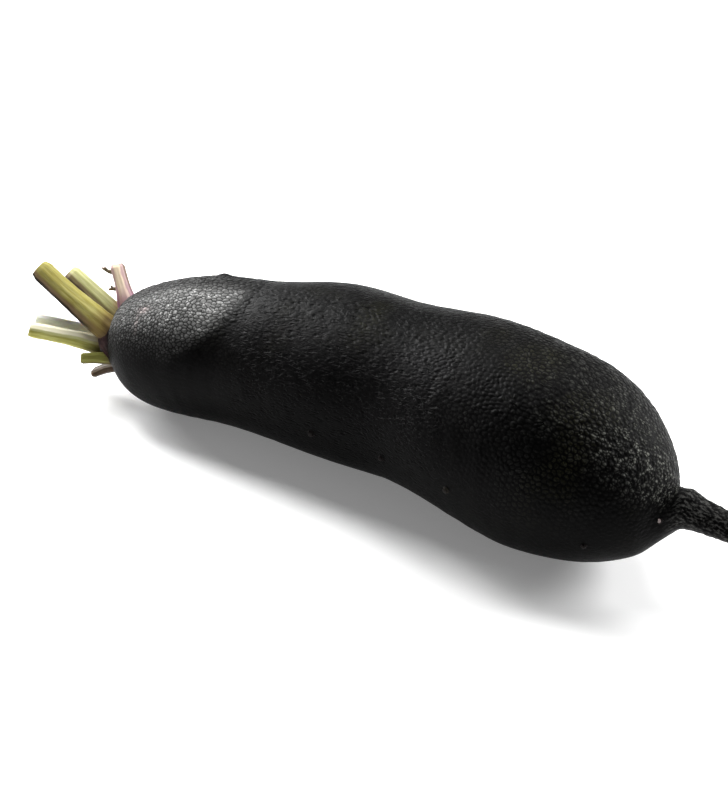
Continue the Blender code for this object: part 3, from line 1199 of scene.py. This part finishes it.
    def _raise_pebbles(self) -> None:
        """Raise each cell of the body's skin into a pebble with a crease round it."""
        draw = random.Random(self.seed + 1)
        shape = self.shape
        groups = ([], [], [])
        for face in self.bm.faces:
            run = sum(vert[self.straight].z for vert in face.verts) / len(face.verts)
            if shape.neck_run < run < shape.taproot_run:
                share = shape.station(run).reach / shape.body_length
                groups[sum(share > limit for limit in self.inset_from)].append(face)
            else:
                for vert in face.verts:
                    vert[self.grain], vert[self.tone] = self.plain_grain, self.plain_tone
        for faces, inset in zip(groups, self.inset_mm):
            bmesh.ops.inset_individual(self.bm, faces=faces, thickness=inset * MM, depth=0.0,
                                       use_even_offset=True)
        self.bm.normal_update()
        for face in groups[0] + groups[1] + groups[2]:
            middle = sum((vert[self.straight] for vert in face.verts), Vector()) / len(face.verts)
            share = shape.station(middle.z).reach / shape.body_length
            turn = math.degrees(math.atan2(middle.y, middle.x))
            shown = self._shown(share, turn if turn > self.under_deg else 180.0)
            height = MM * self.lift_mm.at(share) * draw.uniform(*self.lift_spread) * shown
            # Tops that show less are painted darker: painted shade down the front and in the waist
            grain = self.least_grain + (1.0 - self.least_grain) * shown
            values = ((self.grain, grain), (self.tone, draw.random()),
                      (self.dust_and_sheen, self._dust_and_sheen(share, turn)),
                      (self.cut, max(self._mark(mark, middle) for mark in self.marks)))
            for vert in face.verts:
                vert.co += height * face.normal
                vert.co.z = max(vert.co.z, 0.0)
                for layer, value in values:
                    vert[layer] = value

    def _shown(self, share: float, turn_deg: float) -> float:
        """How plain the pebbles show, and how light their tops are painted: less down the front and
        in the dark waist, where it paints shade.

        Args:
            share: Where along the body.
            turn_deg: Where round it.

        Returns:
            A number from 0 to 1.
        """
        full_deg = self.calm_below_deg.at(share)
        front = soft_step(full_deg - self.calm_over_deg, full_deg, turn_deg)
        past = share - self.dust_and_sheen_until.at(turn_deg) - self.waist_past
        waist = 1.0 - self.waist_shade.at(turn_deg) * hill(past, self.waist_width)
        return (self.calm + (1.0 - self.calm) * front) * waist

    def _dust_and_sheen(self, share: float, turn_deg: float) -> float:
        """How grey the skin is: its own dusting mixed with a painted highlight.

        Args:
            share: Where along the body.
            turn_deg: Where round it.

        Returns:
            A number from 0 to 1.
        """
        if turn_deg < self.under_deg:
            return 0.0
        fade = self.dust_and_sheen_fade[0] + self.dust_and_sheen_fade[1] * soft_step(*self.dust_and_sheen_fade_deg, turn_deg)
        crown = soft_step(0.0, fade, self.dust_and_sheen_until.at(turn_deg) - share)
        crown = crown * self.dust_and_sheen_round.at(turn_deg) * self.dust_and_sheen_along.at(share)
        tail = self.tail_dust_and_sheen.at(share) * self.tail_dust_and_sheen_round.at(turn_deg) if share > 0.5 else 0.0
        return max(crown, tail, 0.0)

    def _mark(self, mark: Mark, middle: Vector) -> float:
        """How much of a mark's colour a pebble takes.

        Args:
            mark: The mark.
            middle: The pebble's middle on the straightened root.

        Returns:
            A number from 0 to 1.
        """
        turn = math.atan2(middle.y, middle.x) - math.radians(mark.angle_deg)
        across = math.hypot(middle.x, middle.y) * math.atan2(math.sin(turn), math.cos(turn))
        along = middle.z - self.shape.run_at(mark.share)
        return mark.strength * hill(math.hypot(across / mark.across, along / mark.along), 1.0)

    def _unroll(self) -> None:
        """Unroll the skin onto a map: round the root across it, along the root up it."""
        layer = self.bm.loops.layers.uv.new(BAKE_MAP)
        total = self.shape.outline[-1][0]
        (left, low), (width, height) = self.map_from, self.map_size
        for face in self.bm.faces:
            places = [loop.vert[self.straight] for loop in face.loops]
            turns = [math.atan2(place.y, place.x) / FULL_TURN % 1.0 for place in places]
            if max(turns) - min(turns) > 0.5:
                turns = [turn + 1.0 if turn < 0.5 else turn for turn in turns]
            for loop, turn, place in zip(face.loops, turns, places):
                loop[layer].uv = (left + width * turn, low + height * place.z / total)


def next_ring(bm: BMesh, ring: Ring) -> Ring:
    """Extrude a ring of points into the next one.

    Args:
        bm: The mesh.
        ring: The points, in order.

    Returns:
        The new ring's points, in the same order.
    """
    made = bmesh.ops.extrude_edge_only(bm, edges=loop_edges(ring))["geom"]
    fresh = {vert for vert in made if isinstance(vert, BMVert)}
    return [next(e.other_vert(vert) for e in vert.link_edges if e.other_vert(vert) in fresh)
            for vert in ring]


def tube(bm: BMesh, rings: Sequence[tuple[Vector, Vector, float]], around: int,
         paint: Callable[[BMVert, float], None]) -> None:
    """Model a closed round rod, slightly uneven.

    Args:
        bm: The mesh it is added to.
        rings: Middle, way along and radius of each ring.
        around: How many points a ring has.
        paint: Called with each point and its ring's share of the length.
    """
    uneven, lump_size, probe = 0.12, 0.0013, 0.003
    ring = bmesh.ops.create_circle(bm, segments=around, radius=1.0, cap_ends=True)["verts"]
    for row, (middle, way, radius) in enumerate(rings):
        if row:
            ring = next_ring(bm, ring)
        side = way.orthogonal().normalized()
        up = way.cross(side).normalized()
        for k, vert in enumerate(ring):
            outward = round_way(side, up, FULL_TURN * k / around)
            wide = 1.0 + uneven * noise.noise((middle + probe * outward) / lump_size)
            vert.co = middle + radius * wide * outward
            paint(vert, row / (len(rings) - 1))
    bmesh.ops.holes_fill(bm, edges=loop_edges(ring))


@dataclass
class SideRoots:
    """Broken side roots: short pegs with a slightly flared foot, in two rows down the flanks.

    The profile holds (share of the height, share of the radius) from the skin outward.
    """

    shape: RootShape
    material: Material
    count: int = 7
    radius: float = 0.0008
    stands_out: float = 0.0009
    sunk: float = 0.0012
    span: tuple[float, float] = (0.40, 0.96)
    row_deg: float = -14.0
    scatter_deg: float = 9.0
    sizes: tuple[float, float] = (0.8, 1.25)
    profile: tuple[tuple[float, float], ...] = (
        (0.0, 1.25), (0.15, 1.08), (0.35, 1.0), (0.6, 0.93), (0.8, 0.82), (0.92, 0.66),
        (0.98, 0.45), (1.0, 0.25), (1.0, 0.08))
    tip_row: int = 6
    # A little of the scars' paler colour over each whole peg: painted light that lifts it out of
    # its shade
    scar_painted_light: float = 0.025
    pale_spot: Spot = Spot(0.9975, 18.0, 0.0008, 0.0003)
    pale_scar: float = 0.9
    around: int = 20
    seed: int = 11

    def build(self) -> Object:
        """Model the side roots.

        Returns:
            The finished piece.
        """
        self.bm = bmesh.new()
        straight, *self.layers = point_layers(self.bm, GRAIN_AND_SHADE, TONE, DUST_AND_SHEEN, CUT)
        draw = random.Random(self.seed)
        first, last = self.span
        for k in range(self.count):
            share = first + (last - first) * (k + draw.random()) / self.count
            scatter = draw.uniform(-self.scatter_deg, self.scatter_deg)
            angle = 180.0 * (k % 2) + self.row_deg + scatter
            radius = self.radius * draw.uniform(*self.sizes)
            self._peg(Spot(share, angle, radius, self.stands_out), self.scar_painted_light)
        self._peg(self.pale_spot, self.pale_scar)
        for vert in self.bm.verts:
            vert[straight] = (vert.co.x, vert.co.y, 0.5 * self.shape.body_length)
        bmesh.ops.recalc_face_normals(self.bm, faces=self.bm.faces)
        piece = finish_mesh(self.bm, "side_roots", self.material)
        attach(piece, Slot.SKIN)
        return piece

    def _peg(self, spot: Spot, scar: float) -> None:
        """Model one peg.

        Args:
            spot: Where it stands, its radius and how far it stands out.
            scar: How much of the scars' colour its broken tip has.
        """
        at = self.shape.station(self.shape.run_at(spot.share))
        foot = self.shape.skin_point(at, math.radians(spot.angle_deg))
        outward = (foot - at.middle - self.shape.shift).normalized()
        rings = [(foot - self.sunk * outward, outward, spot.width)]
        rings += [(foot + out * spot.height * outward, outward, spot.width * wide)
                  for out, wide in self.profile]
        tip_from = self.tip_row / len(self.profile)

        def paint(vert: BMVert, along: float) -> None:
            """Mark the broken tip.

            Args:
                vert: A point of the peg.
                along: Its share of the peg's height.
            """
            # Painted light: the peg's shaft takes a little scar colour so it does not sink into
            # shade
            shown = scar if along >= tip_from else self.scar_painted_light
            for layer, value in zip(self.layers, (1.0, 1.0, 0.0, shown)):
                vert[layer] = value

        tube(self.bm, rings, self.around, paint)


@dataclass(frozen=True)
class Leaflet:
    """The withered remains of a leaflet: a hooked twig with a stump where it forks."""

    share: float
    length: float
    rise: float
    radius: float = 0.00105
    taper: float = 0.6
    fork: float = 0.72
    stump_length: float = 0.0013
    stump_radius: float = 0.00055
    stump_taper: float = 0.5
    stump_lean: float = 0.5


@dataclass(frozen=True)
class StalkForm:
    """Where one leaf stalk stands and how thick it is.

    Base and tip are (out of the crown, away to the back, up) in millimetres from the
    crown's end point. Width and thickness, in millimetres, are at mid length. The bow
    is how far the middle bends upward, and turn is where its channel faces.
    """

    name: str
    base: Triple
    tip: Triple
    width: float
    thick: float
    bow: float
    turn_deg: float
    flank_way: Triple
    spread: float = 0.20
    leaflets: tuple[Leaflet, ...] = ()


@dataclass
class Stalk:
    """One leaf stalk: ribbed and channelled, with a spreading foot and a cut end.

    Each row of cut_rings closes the cut end further: the ring's size, how far it
    stands out of the stalk's end, and its CUT.
    """

    form: StalkForm
    finish: StalkFinish
    shape: RootShape
    around: int = 96
    rings: int = 90
    channel_depth: float = 0.34
    channel_power: int = 4
    spread_ramp: Ramp = (0.1, 0.75)
    ribs: int = 11
    rib_height: float = 0.020
    rib_drift: float = 1.2
    rib_waves: float = 1.7
    uneven: float = 0.03
    uneven_size: float = 0.0035
    uneven_probe: float = 0.004
    worn_end: float = 0.07
    worn_depth: float = 0.16
    lamp_side_ramp: Ramp = (0.1, 0.8)
    cut_rings: tuple[Triple, ...] = (
        (0.985, 0.00010, 0.3), (0.93, 0.00018, 0.8), (0.86, 0.00008, 1.0), (0.7, -0.00016, 1.0),
        (0.5, -0.00026, 1.0), (0.3, -0.0002, 1.0), (0.12, -0.00022, 1.0))
    cut_rough: float = 0.00003
    twig_steps: int = 12
    twig_around: int = 14
    twig_grain: float = 0.002
    seed: int = 3

    def __post_init__(self) -> None:
        """Find the stalk's ends, and the ways along and across it."""
        self.base, self.tip = (self._crown_place(end) for end in (self.form.base, self.form.tip))
        self.length = (self.tip - self.base).length
        self.way = (self.tip - self.base).normalized()
        self.side = self.way.cross(UP).normalized()
        self.up = self.side.cross(self.way)

    def _crown_place(self, values: Triple) -> Vector:
        """Find a point near the crown.

        Args:
            values: (out, back, up) in millimetres from the crown's end point.

        Returns:
            The point.
        """
        middle, along, side, _ = axes_on(self.shape.line, 0.0)
        out, back, rise = (MM * value for value in values)
        return middle - out * level_way(along) - back * side + rise * UP + self.shape.shift

    def middle_at(self, share: float) -> Vector:
        """Point on the stalk's bent middle line."""
        bow = MM * self.form.bow * math.sin(math.pi * share)
        return self.base.lerp(self.tip, share) + bow * self.up

    def section(self, share: float, angle: float) -> float:
        """Distance from the stalk's middle to its skin.

        Args:
            share: How far along the stalk, from foot to cut.
            angle: How far round it.

        Returns:
            The distance.
        """
        wide, thick = 0.5 * MM * self.form.width, 0.5 * MM * self.form.thick
        oval = wide * thick / math.hypot(thick * math.cos(angle), wide * math.sin(angle))
        facing = 0.5 + 0.5 * math.cos(angle - 0.5 * math.pi)
        channel = 1.0 - self.channel_depth * facing**self.channel_power
        spread = 1.0 + self.form.spread * (1.0 - soft_step(*self.spread_ramp, share))
        drift = self.rib_drift * noise.noise(Vector((share * self.rib_waves, self.seed, 0.0)))
        ribs = 1.0 + self.rib_height * math.cos(self.ribs * angle + drift)
        return oval * channel * spread * ribs

    def skin_point(self, share: float, angle: float) -> Vector:
        """Point of the stalk's skin.

        Args:
            share: How far along the stalk.
            angle: How far round it.

        Returns:
            The point.
        """
        outward = round_way(self.side, self.up, angle + math.radians(self.form.turn_deg))
        middle = self.middle_at(share)
        probe = (middle + self.uneven_probe * outward) / self.uneven_size
        worn = soft_step(1.0 - self.worn_end, 1.0, share) ** 2 * self.worn_depth
        size = 1.0 + self.uneven * noise.noise(probe) - worn
        return middle + self.section(share, angle) * size * outward

    def build(self) -> Object:
        """Model the stalk.

        Returns:
            The finished piece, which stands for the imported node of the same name.
        """
        self.bm = bmesh.new()
        layers = point_layers(self.bm, TONE, CUT, FLANK, LAMP_SIDE_DARKENING)
        self.straight, self.share, self.cut, self.flank, self.lamp_side_darkening = layers
        ring = bmesh.ops.create_circle(self.bm, segments=self.around, radius=1.0)["verts"]
        self._place_ring(ring, 0.0)
        for k in range(1, self.rings + 1):
            ring = next_ring(self.bm, ring)
            self._place_ring(ring, k / self.rings)
        self._cut_end(ring)
        bmesh.ops.holes_fill(self.bm, edges=[edge for edge in self.bm.edges if edge.is_boundary])
        for leaflet in self.form.leaflets:
            self._leaflet(leaflet)
        bmesh.ops.recalc_face_normals(self.bm, faces=self.bm.faces)
        material = self.finish.material(self.form.name)
        piece = finish_mesh(self.bm, self.form.name + "_flesh", material)
        attach(piece, self.finish.slot, self.form.name)
        return piece

    def _place_ring(self, ring: Ring, share: float, size: float = 1.0,
                    out: float = 0.0) -> None:
        """Put a ring's points on the stalk.

        Args:
            ring: The points, in order round the stalk.
            share: How far along the stalk.
            size: How much of the stalk's width the ring has.
            out: How far past that share the ring stands.
        """
        middle = self.middle_at(share)
        flank_way = Vector(self.form.flank_way).normalized()
        wide = 0.5 * MM * self.form.width
        for k, vert in enumerate(ring):
            angle = FULL_TURN * k / len(ring)
            skin = self.skin_point(share, angle)
            outward = (skin - middle).normalized()
            vert.co = middle + size * (skin - middle) + out * self.way
            x, y = wide * math.cos(angle), wide * math.sin(angle)
            vert[self.straight] = (x, y, share * self.length)
            vert[self.share] = share
            vert[self.flank] = outward.dot(flank_way)
            # Painted shade marked on the side that faces the lamps behind
            vert[self.lamp_side_darkening] = soft_step(*self.lamp_side_ramp, outward.dot(BACK_LAMP_WAY))

    def _cut_end(self, ring: Ring) -> None:
        """Close the stalk with a slightly sunk cut face behind a rounded rim.

        Args:
            ring: The points of the stalk's last ring, in order.
        """
        draw = random.Random(self.seed)
        for size, out, cut in self.cut_rings:
            ring = next_ring(self.bm, ring)
            self._place_ring(ring, 1.0, size, out)
            for vert in ring:
                vert.co += draw.uniform(-1.0, 1.0) * self.cut_rough * self.way
                vert[self.cut] = cut

    def _leaflet(self, leaflet: Leaflet) -> None:
        """Model a leaflet's hooked twig, and the stump of a second one on it.

        Args:
            leaflet: The leaflet.
        """
        out = -self.shape.crown_way()
        foot = self.middle_at(leaflet.share)
        branch = leaflet.stump_lean * out + UP

        def paint(vert: BMVert, share: float) -> None:
            """Give a point the withered colour of the cut end.

            Args:
                vert: A point of the twig.
                share: Its share of the twig's length.
            """
            vert[self.share], vert[self.cut], vert[self.flank] = 1.0, 1.0, -1.0
            along = leaflet.share * self.length + self.twig_grain * share
            vert[self.straight] = (MM, 0.0, along)

        def bend(t: float) -> Vector:
            """Point of the twig's middle line."""
            return foot + t * leaflet.length * out + leaflet.rise * t**3 * UP

        fork = bend(leaflet.fork)

        def stump(t: float) -> Vector:
            """Point of the stump's middle line."""
            return fork + t * leaflet.stump_length * branch

        steps = self.twig_steps
        for line, way, radius, taper in (
                (bend, out, leaflet.radius, leaflet.taper),
                (stump, branch.normalized(), leaflet.stump_radius, leaflet.stump_taper)):
            rings = [(line(k / steps), way, radius * (1.0 - taper * k / steps))
                     for k in range(steps + 1)]
            tube(self.bm, rings, self.twig_around, paint)


@dataclass(frozen=True)
class SoftBox:
    """A round soft light that shines at the radish."""

    name: str
    azimuth_deg: float
    height_deg: float
    distance: float
    size: float
    power: float
    aim: Triple = (0.0, 0.0, 0.03)

    def build(self) -> None:
        """Hang the light."""
        way = way_to(self.azimuth_deg, self.height_deg)
        lamp = bpy.data.lights.new(self.name, "AREA")
        lamp.shape = "DISK"
        lamp.size = self.size
        lamp.energy = self.power
        aim_object(link_object(self.name, lamp), Vector(self.aim) + self.distance * way, -way)


@dataclass
class Studio:
    """Pale floor, soft light and the camera."""

    boxes: tuple[SoftBox, ...] = (
        SoftBox("left_softbox", 162.0, 22.0, 0.95, 0.56, 17.0, (-0.06, 0.0, 0.03)),
        SoftBox("crown_softbox", 164.0, 52.0, 0.30, 0.12, 0.95, (-0.100, 0.0, 0.04)),
        SoftBox("right_softbox", 48.0, 28.0, 0.95, 0.60, 14.0, (0.06, 0.0, 0.03)),
        SoftBox("top_softbox", 96.0, 68.0, 1.1, 0.7, 9.0),
    )
    room_behind: float = 0.45
    room_front: float = 0.13
    room_ramp: Ramp = (-0.2, 0.7)
    floor_size: float = 6.0
    floor_cells: int = 4
    floor_drop: float = 0.00005
    camera_place: Triple = (0.2021, -0.3942, 0.3196)
    camera_target: Triple = (-0.0285, 0.0052, 0.0200)
    lens_mm: float = 79.58
    sensor_mm: float = 36.0
    clip_start: float = 0.01

    def build(self) -> None:
        """Make the floor, the lights and the camera."""
        self._floor()
        for box in self.boxes:
            box.build()
        self._room()
        self._camera()

    def _floor(self) -> None:
        """A plain pale floor under the radish."""
        bm = bmesh.new()
        bmesh.ops.create_grid(bm, x_segments=self.floor_cells, y_segments=self.floor_cells,
                              size=0.5 * self.floor_size)
        bmesh.ops.translate(bm, verts=bm.verts, vec=(0.0, 0.0, -self.floor_drop))
        finish_mesh(bm, "floor", FloorFinish().material())

    def _room(self) -> None:
        """The pale room, lighter behind the radish and plain white where it is seen."""
        world = bpy.data.worlds.new("pale_room")
        world.use_nodes = True
        room = NodeWork(world.node_tree)
        way = room.part(room.node("ShaderNodeTexCoord", output="Generated"), "Y")
        behind = way.step(*self.room_ramp)
        lit = behind * (self.room_behind - self.room_front) + self.room_front
        seen = room.node("ShaderNodeLightPath", output="Is Camera Ray")
        inputs = world.node_tree.nodes["Background"].inputs
        room.feed(inputs["Strength"], lit * (1.0 - seen) + seen)
        room.feed(inputs["Color"], (1.0, 1.0, 1.0))
        bpy.context.scene.world = world
        bpy.context.scene.view_settings.view_transform = "Standard"

    def _camera(self) -> None:
        """The camera, at the photograph's viewing angle."""
        lens = bpy.data.cameras.new("camera")
        lens.lens = self.lens_mm
        lens.sensor_width = self.sensor_mm
        lens.clip_start = self.clip_start
        camera = link_object("camera", lens)
        way = Vector(self.camera_target) - Vector(self.camera_place)
        aim_object(camera, self.camera_place, way)
        bpy.context.scene.camera = camera


# Painted shade: the lower-left flank darkens through brown into a near-black edge
OLIVE_FINISH = StalkFinish(
    Slot.OLIVE, main=(0.235, 0.205, 0.050), light=(0.31, 0.285, 0.10),
    shade=(0.13, 0.085, 0.04), edge=(0.008, 0.004, 0.002), foot=(0.20, 0.14, 0.04),
    base_share=0.24, shade_ramp=(0.05, 0.45), edge_ramp=(0.48, 0.74))
# Painted shade: a grey-purple edge down the flank where it meets the large stalk
GREEN_FINISH = StalkFinish(
    Slot.GREEN, main=(0.38, 0.38, 0.16), light=(0.48, 0.47, 0.25),
    shade=(0.40, 0.33, 0.21), edge=(0.12, 0.085, 0.085), foot=(0.30, 0.22, 0.11),
    base_share=0.10, shade_ramp=(-0.2, 0.2), edge_ramp=(0.22, 0.5))
# Painted highlight: a mauve band and a cream edge down the side that faces the camera
PURPLE_FINISH = StalkFinish(
    Slot.PURPLE, main=(0.13, 0.09, 0.07), light=(0.21, 0.15, 0.11),
    shade=(0.46, 0.32, 0.31), edge=(0.72, 0.60, 0.44), foot=(0.30, 0.14, 0.21),
    cut=(0.10, 0.10, 0.035), foot_share=0.75, shade_ramp=(0.35, 0.6), edge_ramp=(0.78, 0.92))
# Painted highlight: the upper side paler, whitish along the top
PALE_FINISH = StalkFinish(
    Slot.PALE, main=(0.27, 0.26, 0.06), light=(0.36, 0.35, 0.11),
    shade=(0.40, 0.39, 0.18), edge=(0.70, 0.67, 0.50), foot=(0.15, 0.11, 0.045),
    shade_ramp=(0.0, 0.2), edge_ramp=(0.30, 0.55))
THIN_FINISH = StalkFinish(
    Slot.PALE, main=(0.88, 0.90, 0.84), light=(0.92, 0.93, 0.89),
    shade=(0.86, 0.84, 0.75), edge=(0.64, 0.54, 0.45), foot=(0.62, 0.46, 0.36),
    lamp_side_darkening=(0.44, 0.43, 0.34))
STUB_FINISH = StalkFinish(
    Slot.OLIVE, main=(0.13, 0.125, 0.025), light=(0.20, 0.20, 0.05),
    shade=(0.08, 0.065, 0.02), edge=(0.04, 0.03, 0.012), foot=(0.06, 0.04, 0.015),
    cut=(0.14, 0.14, 0.04))
# A darker copy of the green finish for the stalk behind: painted shade that holds back the lamps
# behind it
BACK_FINISH = StalkFinish(
    Slot.GREEN, main=(0.17, 0.175, 0.06), light=(0.25, 0.25, 0.10),
    shade=(0.16, 0.12, 0.08), edge=(0.08, 0.05, 0.05), foot=(0.12, 0.08, 0.04))
LOW_FINISH = StalkFinish(
    Slot.PURPLE, main=(0.050, 0.030, 0.018), light=(0.075, 0.055, 0.028),
    shade=(0.035, 0.018, 0.016), edge=(0.025, 0.012, 0.014), foot=(0.030, 0.014, 0.016),
    cut=(0.12, 0.10, 0.05))

# Ways that the stalks' painted flanks face: painted shade to the lower left, a painted highlight
# towards the camera and upward, and darker colours on the underside
LOWER_LEFT = (-0.42, -0.68, -0.59)
FACING = (0.42, -0.73, 0.55)
UPWARD = (0.0, 0.4, 0.9)
DOWNWARD = (0.0, 0.0, -1.0)

LEAFLETS = (Leaflet(0.55, 0.0050, -0.0006), Leaflet(0.85, 0.0056, 0.0014))
STALKS = (
    (StalkForm("stalk_large", (-3.2, -1.4, 2.7), (24.9, 6.3, 22.0), 8.0, 7.4, -0.6, 190.0,
               LOWER_LEFT), OLIVE_FINISH),
    (StalkForm("stalk_green", (-2.6, 8.4, 1.4), (17.5, 14.2, 16.9), 6.6, 6.4, 0.3, 200.0,
               LOWER_LEFT), GREEN_FINISH),
    (StalkForm("stalk_purple", (-4.0, 8.5, 4.6), (2.2, 17.2, 19.7), 5.2, 4.6, 0.6, 160.0,
               FACING, 0.45, LEAFLETS), PURPLE_FINISH),
    (StalkForm("stalk_pale", (-2.0, -0.2, -2.4), (25.7, -5.7, 6.0), 5.4, 4.8, 0.6, -90.0,
               UPWARD), PALE_FINISH),
    (StalkForm("stalk_thin", (-1.0, 5.3, -2.6), (25.0, -0.9, 7.2), 4.2, 3.6, 0.9, -100.0,
               DOWNWARD), THIN_FINISH),
    (StalkForm("stalk_stub", (-2.6, -3.9, -2.8), (8.2, -8.0, -1.6), 5.0, 4.0, 0.2, -45.0,
               DOWNWARD), STUB_FINISH),
    (StalkForm("stalk_back", (-3.0, 8.0, -6.5), (11.0, 14.0, -10.0), 5.4, 4.2, 0.8, 90.0,
               DOWNWARD), BACK_FINISH),
    (StalkForm("stalk_low", (-3.5, 1.0, -8.0), (8.0, 1.5, -13.0), 4.6, 3.4, 0.4, 0.0,
               DOWNWARD), LOW_FINISH),
)


def main() -> None:
    """Build the radish's pieces and the studio, and report each piece."""
    logging.basicConfig(level=logging.INFO, format="%(message)s")
    Studio().build()
    shape = RootShape()
    shape.fit_to_frame()
    skin = RootSkin(shape).build()
    SideRoots(shape, skin.data.materials[0]).build()
    for form, finish in STALKS:
        Stalk(form, finish, shape).build()
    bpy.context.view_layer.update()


if __name__ == "__main__":
    main()
